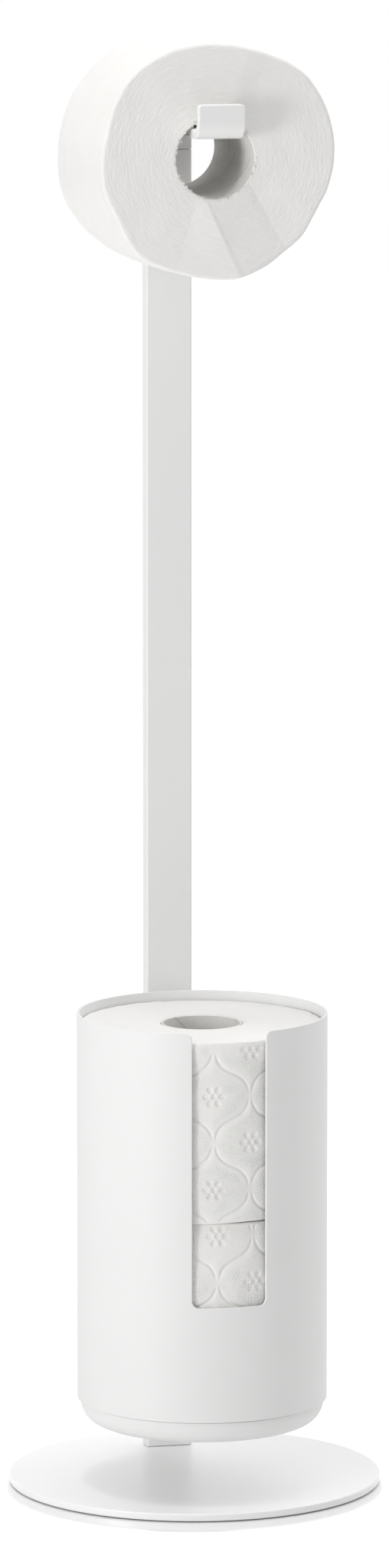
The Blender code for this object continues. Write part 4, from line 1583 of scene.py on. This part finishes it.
    def stations(self, half: float) -> list[Station]:
        """Goes round the paper's section, from the front mouth outwards.

        Args:
            half: Half of the roll's length.

        Returns:
            The section's stations.
        """
        shares = np.linspace(0.0, 1.0, self.face_rings + 1).tolist()
        back_shares = np.linspace(1.0, 0.0, self.back_rings + 1)[1:].tolist()
        sines = np.sin(np.linspace(0.0, math.pi / 2, self.edge_rings + 1)).tolist()
        bends = [(self.edge_round * (1 - a), self.edge_round * (1 - b)) for a, b in
                 zip(sines, reversed(sines))]
        flat = half - self.edge_round
        step_back = self.lip_length - half
        back_mouth = half - self.dish - self.mouth_round
        lip_depths = (step_back, self.lip_length / 2 - half, self.lip_round - half)
        return [
            *(self.on_face(share, -half) for share in shares),
            *(self.on_side(inward, depth - half) for inward, depth in bends[1:]),
            *(self.on_side(0.0, depth)
              for depth in np.linspace(-flat, flat, self.side_rings + 1)[1:-1].tolist()),
            *(self.on_side(inward, half - depth) for depth, inward in bends),
            *(self.on_face(share, half) for share in back_shares),
            *(self.in_bore(self.bore, depth)
              for depth in np.linspace(back_mouth, step_back, self.bore_rings + 1).tolist()),
            *(self.in_bore(self.lip_bore, depth) for depth in lip_depths),
        ]


@dataclass
class SpareRoll(WoundRoll):
    """Embossed spare roll in the canister, with its core.

    Attributes:
        node_stem: Start of its nodes' and pieces' names.
        body: The body that it rides on.
        turn: Share of a turn by which its pattern is turned.
        front_belly: How much further it bulges to the front at half its height.
        foot_gap: How far its front right foot stands off; top_sag is how far its rim sags there.
        top_flare: How far its top spreads, over flare_depth.
        gap_angles: Where the gap or sag starts, is full, still is full, and ends, in degrees.
        reliefs: Sizes of the embossing, the named inputs of its node tree.
    """

    node_stem: str
    body: Body
    turn: float
    top_round: float = 0.0022
    foot_round: float = 0.0009
    mouth_round: float = 0.0010
    fillet_steps: int = 5
    angles: int = 560
    ring_step: float = 0.0008
    face_step: float = 0.0026
    bore_step: float = 0.0208
    side_swell: float = 0.0020
    front_swell: float = 0.0012
    front_belly: float = 0.0
    foot_gap: float = 0.0
    top_sag: float = 0.0
    top_flare: float = 0.0
    flare_depth: float = 0.024
    gap_reach: float = 0.010
    gap_angles: tuple[float, ...] = (-97.0, -82.0, -55.0, -25.0)
    end_power: int = 4
    rim_share: float = 0.90
    rim_rise_share: float = 0.35
    wind_lean: float = 30.0
    reliefs: tuple[tuple[str, float], ...] = (
        ("Seam depth", 0.00055), ("Dot depth", 0.00048), ("Pillow", 0.00040),
        ("Pillow reach", 0.0090), ("Lump height", 0.0007), ("Lump size", 0.030),
        ("Wind height", 0.0005), ("Wind width", 0.0030), ("Rim lift", 0.0009),
        ("Pucker height", 0.00045), ("Pucker size", 0.0075),
    )

    def pieces(self) -> Iterator[Piece]:
        """Builds the paper and its core."""
        low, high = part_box(self.node_stem + "_paper")
        centre = Vector(((low.x + high.x) / 2, (low.y + high.y) / 2, low.z))
        radius = (high.x - low.x) / 2
        quilt = Quilt((centre.x, centre.y), radius, low.z, high.z, self.turn)
        finish = EmbossedTissue("embossed_tissue_" + self.body.value, quilt=quilt)
        stock = self.paper(centre, radius, high.z - low.z)
        yield Piece(
            self.node_stem + "_tissue", self.embossed(stock, quilt, finish), finish,
            Slot.EMBOSSED_PAPER, self.body, (self.node_stem + "_paper",),
        )
        core_low, core_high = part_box(self.node_stem + "_core")
        board = self.board(core_high.z - core_low.z)
        board.transform(Matrix.Translation((centre.x, centre.y, core_low.z)))
        yield Piece(
            self.node_stem + "_board", board, BOARD, Slot.CORE, self.body,
            (self.node_stem + "_core",),
        )

    def paper(self, centre: Vector, radius: float, height: float) -> Mesh:
        """Turns the roll on its foot, swollen where the photograph shows it so.

        Args:
            centre: Middle of the roll's foot.
            radius: The roll's plain radius.
            height: The roll's height.

        Returns:
            The roll before its embossing.
        """
        mouth = self.bore + self.mouth_round
        outline = fillet([
            (mouth, height, 0.0),
            (radius, height, self.top_round),
            (radius, 0.0, self.foot_round),
            (mouth, 0.0, 0.0),
            (self.bore, self.mouth_round, 0.0),
            (self.bore, height - self.mouth_round, 0.0),
        ], self.fillet_steps)
        profile = np.array(self.spaced(outline, radius))
        reach, levels = profile.T[:, :, None]
        turn = np.arange(self.angles) * math.tau / self.angles
        out = np.clip((reach - mouth) / (radius - mouth), 0.0, 1.0)
        ends = np.abs(2 * levels / height - 1) ** self.end_power
        front = self.front_swell + self.front_belly * (1.0 - ends)
        swell = self.side_swell * np.cos(turn) ** 2 + front * np.maximum(-np.sin(turn), 0.0) ** 2
        near_top = np.clip((levels - height + self.flare_depth) / self.flare_depth, 0.0, 1.0)
        radii = reach + out * np.maximum(swell, self.top_flare * np.sqrt(near_top))
        # Over the front right the foot's rim stands off, and the rim below it sags
        degrees = (np.degrees(turn) + 180.0) % 360.0 - 180.0
        open_share = np.interp(degrees, self.gap_angles, (0.0, 1.0, 1.0, 0.0))
        rim = np.clip((reach - radius + self.gap_reach) / self.gap_reach, 0.0, 1.0) ** 2
        lift = np.where(levels < height / 2, self.foot_gap, -self.top_sag) * rim * open_share
        points = np.stack([radii * np.cos(turn), radii * np.sin(turn), levels + lift * ends], axis=-1)
        return wound_ring(points, profile, math.tau * radius, centre)

    def spaced(self, outline: Sequence[Point], radius: float) -> list[Point]:
        """Adds points to the closed profile.

        Args:
            outline: The profile's corners.
            radius: The roll's plain radius.

        Returns:
            The points, close on the outer side and wider elsewhere.
        """
        points: list[Point] = []
        for here, following in zip(outline, [*outline[1:], outline[0]]):
            if min(here[0], following[0]) > radius - self.top_round:
                step = self.ring_step
            else:
                in_bore = max(here[0], following[0]) < radius / 2
                step = self.bore_step if in_bore else self.face_step
            count = max(1, math.ceil(math.dist(here, following) / step))
            for part in range(count):
                points.append(tuple(a + (b - a) * part / count for a, b in zip(here, following)))
        return points

    def embossed(self, stock: Mesh, quilt: Quilt, finish: Finish) -> Mesh:
        """Presses the quilt into the paper's side and gives its faces their winds.

        Args:
            stock: The plain roll.
            quilt: The pattern.
            finish: The roll's finish.

        Returns:
            The embossed roll.
        """
        sheet = GeometrySheet(self.node_stem + "_quilting", dict(self.reliefs))
        size = sheet.given
        place = sheet.place()
        normal = sheet.value("GeometryNodeInputNormal")
        at = quilt.spot(sheet, place)
        near = sheet.math("MINIMUM", at.first, at.second)
        pillow = sheet.ramp(near, 0.0, size["Pillow reach"]) * size["Pillow"]
        seams = quilt.seam(sheet, at) * size["Seam depth"]
        dots = quilt.rosette(sheet, at) * size["Dot depth"]
        relief = pillow - sheet.math("MAXIMUM", seams, dots)
        lumps = self.waves(sheet, place, size["Lump size"], size["Lump height"])
        puckers = self.waves(sheet, place, size["Pucker size"], size["Pucker height"])
        relief = (relief + lumps + puckers) * at.share
        pressed = sheet.times(normal, relief)
        shift = sheet.vector("ADD", pressed, self.winds(sheet, place, quilt))
        return sheet.grown(stock, sheet.moved(size["Geometry"], shift), finish)

    def waves(self, sheet: GeometrySheet, place: Value, size: Value, height: Value) -> Value:
        """Smooth lumps of one size, as far in as out."""
        return (sheet.speckle(place, size, 1.0) - 0.5) * height

    def winds(self, sheet: GeometrySheet, place: Value, quilt: Quilt) -> Value:
        """Makes the uneven winds of the top face, and its slightly frayed rim.

        Args:
            sheet: The sheet to build on.
            place: The point.
            quilt: The pattern, which knows the roll's axis, radius and top.

        Returns:
            The upward shift.
        """
        size = sheet.given
        x, y, height, away = sheet.about(place, quilt.axis)
        ring = sheet.way(away / size["Wind width"], x * self.wind_lean, y * self.wind_lean)
        rise = (sheet.speckle(ring, 1.0) - 0.5) * size["Wind height"]
        rim = sheet.ramp(away, quilt.radius * self.rim_share, quilt.radius)
        fray = self.waves(sheet, place, size["Pucker size"], size["Rim lift"])
        rise = rim * (size["Rim lift"] * self.rim_rise_share + fray) + rise
        on_top = sheet.ramp(height, quilt.top - self.top_round - self.mouth_round, quilt.top)
        return sheet.way(0.0, 0.0, rise * on_top)


@dataclass
class SocketScrews(SubAssembly):
    """Hex-socket screws that share a size, turned and set in place by one node tree.

    Attributes:
        name: Name of the finished piece.
        nodes: The CAD nodes of the screws.
        facing: 1 where the heads face the back, and -1 where they face the front.
        shank_radius: Radius of the thread.
        socket_radius: Radius over the socket's corners.
        dome_share: How far the head's rim falls off, as a share of its height.
        head_height: Height of the head above its seat.
    """

    name: str
    nodes: tuple[str, ...]
    facing: int
    shank_radius: float
    socket_radius: float
    dome_share: float
    head_height: float = 0.0022
    dome_power: float = 3.0
    thread_pitch: float = 0.0008
    thread_depth: float = 0.0002
    socket_depth_share: float = 0.6
    overlap_share: float = 0.2
    head_sides: int = 40
    shank_sides: int = 24
    shank_rings: int = 48
    cap_rings: int = 6

    def pieces(self) -> Iterator[Piece]:
        """Builds all the screws of this size as one piece."""
        boxes = [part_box(node) for node in self.nodes]
        low, high = boxes[0]
        level = high.y - self.head_height if self.facing > 0 else low.y + self.head_height
        seats = bpy.data.meshes.new("seats")
        seats.from_pydata([((a.x + b.x) / 2, level, (a.z + b.z) / 2) for a, b in boxes], [], [])
        sheet = GeometrySheet(self.name + "_turning", {
            "Head radius": (high.x - low.x) / 2,
            "Head height": self.head_height,
            "Shank radius": self.shank_radius,
            "Shank length": high.y - low.y - self.head_height,
            "Socket radius": self.socket_radius,
            "Dome": self.dome_share,
            "Thread pitch": self.thread_pitch,
            "Thread depth": self.thread_depth,
        })
        union = sheet.node("GeometryNodeMeshBoolean", operation="UNION")
        for body in (self.head(sheet), self.shank(sheet)):
            sheet.put(union.inputs["Mesh 2"], body)
        angles = (-self.facing * math.pi / 2, 0.0, 0.0)
        inputs = {
            "Points": sheet.given["Geometry"],
            "Instance": Value(sheet, union.outputs[0]),
            "Rotation": sheet.value("FunctionNodeEulerToRotation", {0: angles}),
        }
        placed = sheet.value("GeometryNodeInstanceOnPoints", inputs)
        mesh = shaded(sheet.grown(seats, placed, ZINC))
        yield Piece(self.name, mesh, ZINC, Slot.SCREW, stands_for=self.nodes)

    def bar(
        self, sheet: GeometrySheet, cells: tuple[int, int], radius: object, length: object,
        middle: object,
    ) -> Value:
        """Makes an upright bar.

        Args:
            sheet: The sheet to build on.
            cells: Its sides, and the segments along it.
            radius: Its radius.
            length: Its length.
            middle: Height of its middle.

        Returns:
            The bar's geometry.
        """
        inputs = {
            "Vertices": cells[0], "Side Segments": cells[1], "Fill Segments": self.cap_rings,
            "Radius": radius, "Depth": length,
        }
        made = sheet.value("GeometryNodeMeshCylinder", inputs, "Mesh", fill_type="TRIANGLE_FAN")
        return sheet.moved(made, sheet.way(0.0, 0.0, middle))

    def head(self, sheet: GeometrySheet) -> Value:
        """Makes the domed head with its hex socket, standing on its seat.

        Args:
            sheet: The sheet to build on.

        Returns:
            The head's geometry.
        """
        size = sheet.given
        radius, tall = size["Head radius"], size["Head height"]
        half = tall * 0.5
        blank = self.bar(sheet, (self.head_sides, 1), radius, tall, half)
        _, _, height, away = sheet.about(sheet.place(), (0.0, 0.0))
        drop = (away / radius) ** self.dome_power * size["Dome"] * tall
        fall = drop * sheet.math("GREATER_THAN", height, half) * -1.0
        domed = sheet.moved(blank, sheet.way(0.0, 0.0, fall))
        socket_depth = tall * (2 * self.socket_depth_share)
        socket = self.bar(sheet, (HEX_SIDES, 1), size["Socket radius"], socket_depth, tall)
        inputs = {"Mesh 1": domed, "Mesh 2": socket}
        return sheet.value("GeometryNodeMeshBoolean", inputs, operation="DIFFERENCE")

    def shank(self, sheet: GeometrySheet) -> Value:
        """Makes the threaded shank that hangs from the seat.

        Args:
            sheet: The sheet to build on.

        Returns:
            The shank's geometry.
        """
        size = sheet.given
        radius = size["Shank radius"] - size["Thread depth"]
        length = size["Shank length"] + size["Head height"] * self.overlap_share
        cells = (self.shank_sides, self.shank_rings)
        blank = self.bar(sheet, cells, radius, length, size["Shank length"] * -0.5)
        x, y, height = sheet.parts(sheet.place())
        climb = height / size["Thread pitch"] - sheet.math("ARCTAN2", y, x) / math.tau
        grow = sheet.math("PINGPONG", climb, 0.5) * (size["Thread depth"] * 2.0)
        out = sheet.vector("NORMALIZE", sheet.way(x, y, 0.0))
        return sheet.moved(blank, sheet.times(out, grow))


@dataclass
class TornBits(SubAssembly):
    """Torn bits round the mouth of the hanging roll's core, strewn by one node tree."""

    name: str
    finish: Finish
    slot: Slot
    seed: int
    ring_radius: float = 0.0213
    count: int = 64
    keep_share: float = 0.6
    spread: float = 0.0007
    face_span: Point = (-0.0006, 0.0002)
    bit_size: Corner = (0.0015, 0.0003, 0.0008)
    bit_cells: tuple[int, int, int] = (5, 2, 4)
    scales: tuple[float, float] = (0.35, 1.15)
    lean: float = 0.7
    ragged: float = 0.00035
    tear_scale: float = 1800.0

    def pieces(self) -> Iterator[Piece]:
        """Strews the bits round the mouth of the core."""
        centre = spin_centre()
        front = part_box("hanging_roll_paper")[0].y
        sheet = GeometrySheet(self.name + "_strewing", {
            "Ring radius": self.ring_radius,
            "Count": self.count,
            "Centre": (centre.x, front, centre.z),
            "Bit size": self.bit_size,
            "Ragged": self.ragged,
        })
        size = sheet.given
        inputs = {"Vertices": size["Count"], "Radius": size["Ring radius"]}
        ring = sheet.value("GeometryNodeMeshCircle", inputs)
        x, y, _ = sheet.parts(sheet.place())
        upright = sheet.vector("ADD", sheet.way(x, 0.0, y), size["Centre"])
        behind, before = ((side * self.spread, reach, side * self.spread)
                          for side, reach in zip((-1.0, 1.0), self.face_span))
        off = sheet.chance(self.seed, "FLOAT_VECTOR", Min=behind, Max=before)
        inputs = {"Geometry": ring, "Position": sheet.vector("ADD", upright, off)}
        spots = sheet.value("GeometryNodeSetPosition", inputs)
        mesh = sheet.grown(bpy.data.meshes.new("bits"), self.torn(sheet, spots), self.finish)
        mesh.uv_layers.new(name=WRAP_MAP)
        yield Piece(self.name, mesh, self.finish, self.slot, Body.HANGING_ROLL)

    def torn(self, sheet: GeometrySheet, spots: Value) -> Value:
        """Lays bits on some of the spots and tears their outlines.

        Args:
            sheet: The sheet to build on.
            spots: Points where a bit may lie.

        Returns:
            The bits' geometry.
        """
        across, deep, up = self.bit_cells
        inputs = {
            "Size": sheet.given["Bit size"], "Vertices X": across, "Vertices Y": deep,
            "Vertices Z": up,
        }
        bit = sheet.value("GeometryNodeMeshCube", inputs, "Mesh")
        kept = sheet.chance(self.seed + 1, "BOOLEAN", Probability=self.keep_share)
        small, large = self.scales
        scale = sheet.chance(self.seed + 2, "FLOAT", Min=small, Max=large)
        high = (self.lean, math.pi, self.lean)
        low = tuple(-angle for angle in high)
        angles = sheet.chance(self.seed + 3, "FLOAT_VECTOR", Min=low, Max=high)
        turn = sheet.value("FunctionNodeEulerToRotation", {0: angles})
        inputs = {
            "Points": spots, "Selection": kept, "Instance": bit, "Rotation": turn, "Scale": scale,
        }
        strewn = sheet.value("GeometryNodeInstanceOnPoints", inputs)
        strewn = sheet.value("GeometryNodeRealizeInstances", {0: strewn})
        inputs = {"Vector": sheet.place(), "Scale": self.tear_scale}
        tear = sheet.value("ShaderNodeTexNoise", inputs, "Color")
        tear = sheet.vector("SUBTRACT", tear, (0.5, 0.5, 0.5))
        return sheet.moved(strewn, sheet.times(tear, sheet.given["Ragged"]))


@dataclass
class Fasteners(SubAssembly):
    """Screws, inserts, bushes and other inner pieces, which keep their CAD shape."""

    finishes: tuple[tuple[Finish, tuple[str, ...]], ...] = (
        (RUBBER, ("base_pad",)),
        (POWDER, ("canister_floor",)),
        (ZINC, (*BASE_SCREWS, "mast_foot_plug")),
        (YELLOW_ZINC, RIVET_NUTS),
        (BUSH, BUSHES),
    )

    def pieces(self) -> Iterator[Piece]:
        """Dresses the CAD nodes, and adds no piece of its own."""
        for finish, names in self.finishes:
            for name in names:
                node = frame["nodes"][name]
                node.data.materials.clear()
                node.data.materials.append(finish.material())
                LOG.info("%s: CAD shape, %s", name, finish.name)
        yield from ()


def spoke(azimuth: float, elevation: float) -> Vector:
    """Points from the holder towards a place round it.

    Args:
        azimuth: Degrees round from the front, positive to the right.
        elevation: Degrees above the horizon.

    Returns:
        A unit vector.
    """
    round_way, up = math.radians(azimuth), math.radians(elevation)
    return Vector((
        math.sin(round_way) * math.cos(up), -math.cos(round_way) * math.cos(up), math.sin(up)
    ))


def faced(obj: bpy.types.Object, target: Vector, way: Vector, distance: float) -> None:
    """Sets a lamp or camera off from a target by a unit vector's way, and turns it to face it."""
    obj.location = target + way * distance
    obj.rotation_euler = way.to_track_quat("Z", "Y").to_euler()


@dataclass
class Lamp:
    """A soft box that faces the holder.

    Attributes:
        azimuth: Degrees round from the front, positive to the right.
        elevation: Degrees above the horizon.
        distance: From the holder's middle.
        size: Width and height of the box.
        level: How bright it makes a white surface that faces it.
    """

    azimuth: float
    elevation: float
    distance: float
    size: Point
    level: float

    def place(self, name: str, target: Vector) -> None:
        """Adds the lamp.

        Args:
            name: Its name.
            target: What it faces.
        """
        data = bpy.data.lights.new(name, "AREA")
        data.shape = "RECTANGLE"
        data.size, data.size_y = self.size
        data.energy = self.level * math.pi ** 2 * self.distance ** 2
        faced(linked(name, data), target, spoke(self.azimuth, self.elevation), self.distance)


@dataclass
class Glow:
    """A soft bright region of the studio's white surround.

    Attributes:
        azimuth: Degrees round from the front, positive to the right.
        elevation: Degrees above the horizon.
        spread: Degrees from its middle to where it ends.
        level: What it adds to the surround at its middle.
    """

    azimuth: float
    elevation: float
    spread: float
    level: float

    def on(self, sheet: NodeSheet, direction: Value) -> Value:
        """Draws the glow on the world's sheet.

        Args:
            sheet: The world's sheet.
            direction: The direction that is looked in.

        Returns:
            What the glow adds there.
        """
        middle = spoke(self.azimuth, self.elevation)
        facing = sheet.vector("DOT_PRODUCT", direction, middle, which="Value")
        return sheet.ramp(facing, math.cos(math.radians(self.spread)), 1.0) * self.level


@dataclass
class Studio:
    """White floor, soft light and the camera at the photograph's angle.

    Attributes:
        floor_lifts: The floor's own light near the holder and further off.
        floor_reaches: Where the one ends and the other begins, round floor_middle.
    """

    floor_size: float = 14.0
    floor_white: float = 0.90
    floor_lifts: tuple[float, float] = (0.0, 0.45)
    floor_reaches: tuple[float, float] = (0.1000, 0.1045)
    floor_middle: Corner = (-0.0042, -0.0180, 0.0)
    floor_roughness: float = 0.03
    floor_coat: float = 0.8
    surround: float = 0.40
    glows: tuple[Glow, ...] = (Glow(-52.0, 12.0, 66.0, 0.36), Glow(120.0, 34.0, 62.0, 1.15))
    lamps: tuple[tuple[str, Lamp], ...] = (
        ("key_box", Lamp(-60.0, 4.0, 2.2, (0.5, 0.6), 0.30)),
        ("top_box", Lamp(-60.0, 80.0, 2.2, (1.4, 1.4), 0.23)),
        ("spot_box", Lamp(-70.0, 83.0, 2.2, (0.2, 0.2), 0.13)),
    )
    aim: Corner = (0.0, 0.0, 0.3795)
    camera_azimuth: float = -13.06
    camera_elevation: float = 8.656
    camera_distance: float = 4.476
    lens: float = 192.70
    sensor: float = 36.0

    def build(self) -> None:
        """Sets up the stage, the lamps, the surround and the camera."""
        bpy.context.scene.view_settings.view_transform = "Standard"
        self.lay_floor()
        self.light_surround()
        target = Vector(self.aim)
        for name, lamp in self.lamps:
            lamp.place(name, target)
        self.set_camera(target)

    def lay_floor(self) -> None:
        """Adds the glossy white floor, lifted to white for the camera."""
        bm = bmesh.new()
        bmesh.ops.create_grid(bm, x_segments=1, y_segments=1, size=self.floor_size / 2)
        mesh = bpy.data.meshes.new("floor")
        bm.to_mesh(mesh)
        bm.free()
        floor = linked("floor", mesh)
        sheet = NodeSheet("floor_white")
        reach = sheet.vector("DISTANCE", sheet.place(), self.floor_middle, which="Value")
        (near, far), (low, high) = self.floor_reaches, self.floor_lifts
        inputs = {"Value": reach, "From Min": near, "From Max": far, "To Min": low, "To Max": high}
        lift = sheet.value("ShaderNodeMapRange", inputs)
        mesh.materials.append(sheet.surface(
            Base_Color=(self.floor_white, self.floor_white, self.floor_white, 1.0),
            Roughness=self.floor_roughness,
            Coat_Weight=self.floor_coat,
            Emission_Color=(1.0, 1.0, 1.0, 1.0),
            Emission_Strength=self.seen_share(sheet) * lift,
        ))

    def seen_share(self, sheet: NodeSheet) -> Value:
        """Tells the rays that see the stage from those that only light it.

        Args:
            sheet: The sheet to build on.

        Returns:
            One for rays that the camera, a gloss or a glass sends, and zero for the rest.
        """
        path = sheet.node("ShaderNodeLightPath").outputs
        kinds = ("Is Camera Ray", "Is Glossy Ray", "Is Transmission Ray")
        camera, glossy, clear = (Value(sheet, path[kind]) for kind in kinds)
        return sheet.math("MAXIMUM", camera, sheet.math("MAXIMUM", glossy, clear))

    def light_surround(self) -> None:
        """White to the camera and to reflections, and a low even light otherwise."""
        world = bpy.data.worlds.new("surround")
        bpy.context.scene.world = world
        world.use_nodes = True
        sheet = WorldSheet(world)
        direction = sheet.value("ShaderNodeTexCoord", which="Generated")
        light = self.surround
        for glow in self.glows:
            light = sheet.math("ADD", light, glow.on(sheet, direction))
        inputs = {"Factor": self.seen_share(sheet), "A": light, "B": 1.0}
        background = world.node_tree.nodes["Background"]
        sheet.put(background.inputs["Color"], (1.0, 1.0, 1.0, 1.0))
        sheet.put(
            background.inputs["Strength"], sheet.value("ShaderNodeMix", inputs, data_type="FLOAT")
        )

    def set_camera(self, target: Vector) -> None:
        """Adds the camera on its long lens.

        Args:
            target: What it looks at.
        """
        data = bpy.data.cameras.new("camera")
        data.lens = self.lens
        data.sensor_width = self.sensor
        camera = linked("camera", data)
        way = spoke(self.camera_azimuth, self.camera_elevation)
        faced(camera, target, way, self.camera_distance)
        bpy.context.scene.camera = camera


def main() -> None:
    """Builds the studio and the sub-assemblies in order."""
    logging.basicConfig(level=logging.INFO, format="%(name)s: %(message)s")
    Studio().build()
    assemblies: tuple[SubAssembly, ...] = (
        Base(),
        Mast(),
        Arm(),
        Canister(),
        Fasteners(),
        SocketScrews(
            "arm_screws_zinc", ARM_SCREWS, facing=1, shank_radius=0.0020, socket_radius=0.0014,
            dome_share=0.55,
        ),
        SocketScrews(
            "canister_screws_zinc", CANISTER_SCREWS, facing=-1, shank_radius=0.0025,
            socket_radius=0.0017, dome_share=0.35,
        ),
        HangingRoll(),
        TornBits("hanging_roll_tissue_bits", SOFT_TISSUE, Slot.SOFT_PAPER, seed=7),
        TornBits(
            "hanging_roll_board_bits", BOARD, Slot.CORE, seed=19, keep_share=0.4,
            ring_radius=0.0216,
        ),
        SpareRoll(
            "upper_roll", Body.UPPER_ROLL, turn=0.27, top_round=0.0009, foot_round=0.0006,
            foot_gap=0.0008, top_flare=0.0026,
        ),
        SpareRoll(
            "lower_roll", Body.LOWER_ROLL, turn=0.315, top_round=0.0012, front_swell=-0.0002,
            front_belly=0.0019, top_sag=0.0004,
        ),
    )
    for assembly in assemblies:
        LOG.info("building %s", type(assembly).__name__)
        for piece in assembly.pieces():
            piece.place()


if __name__ == "__main__":
    main()
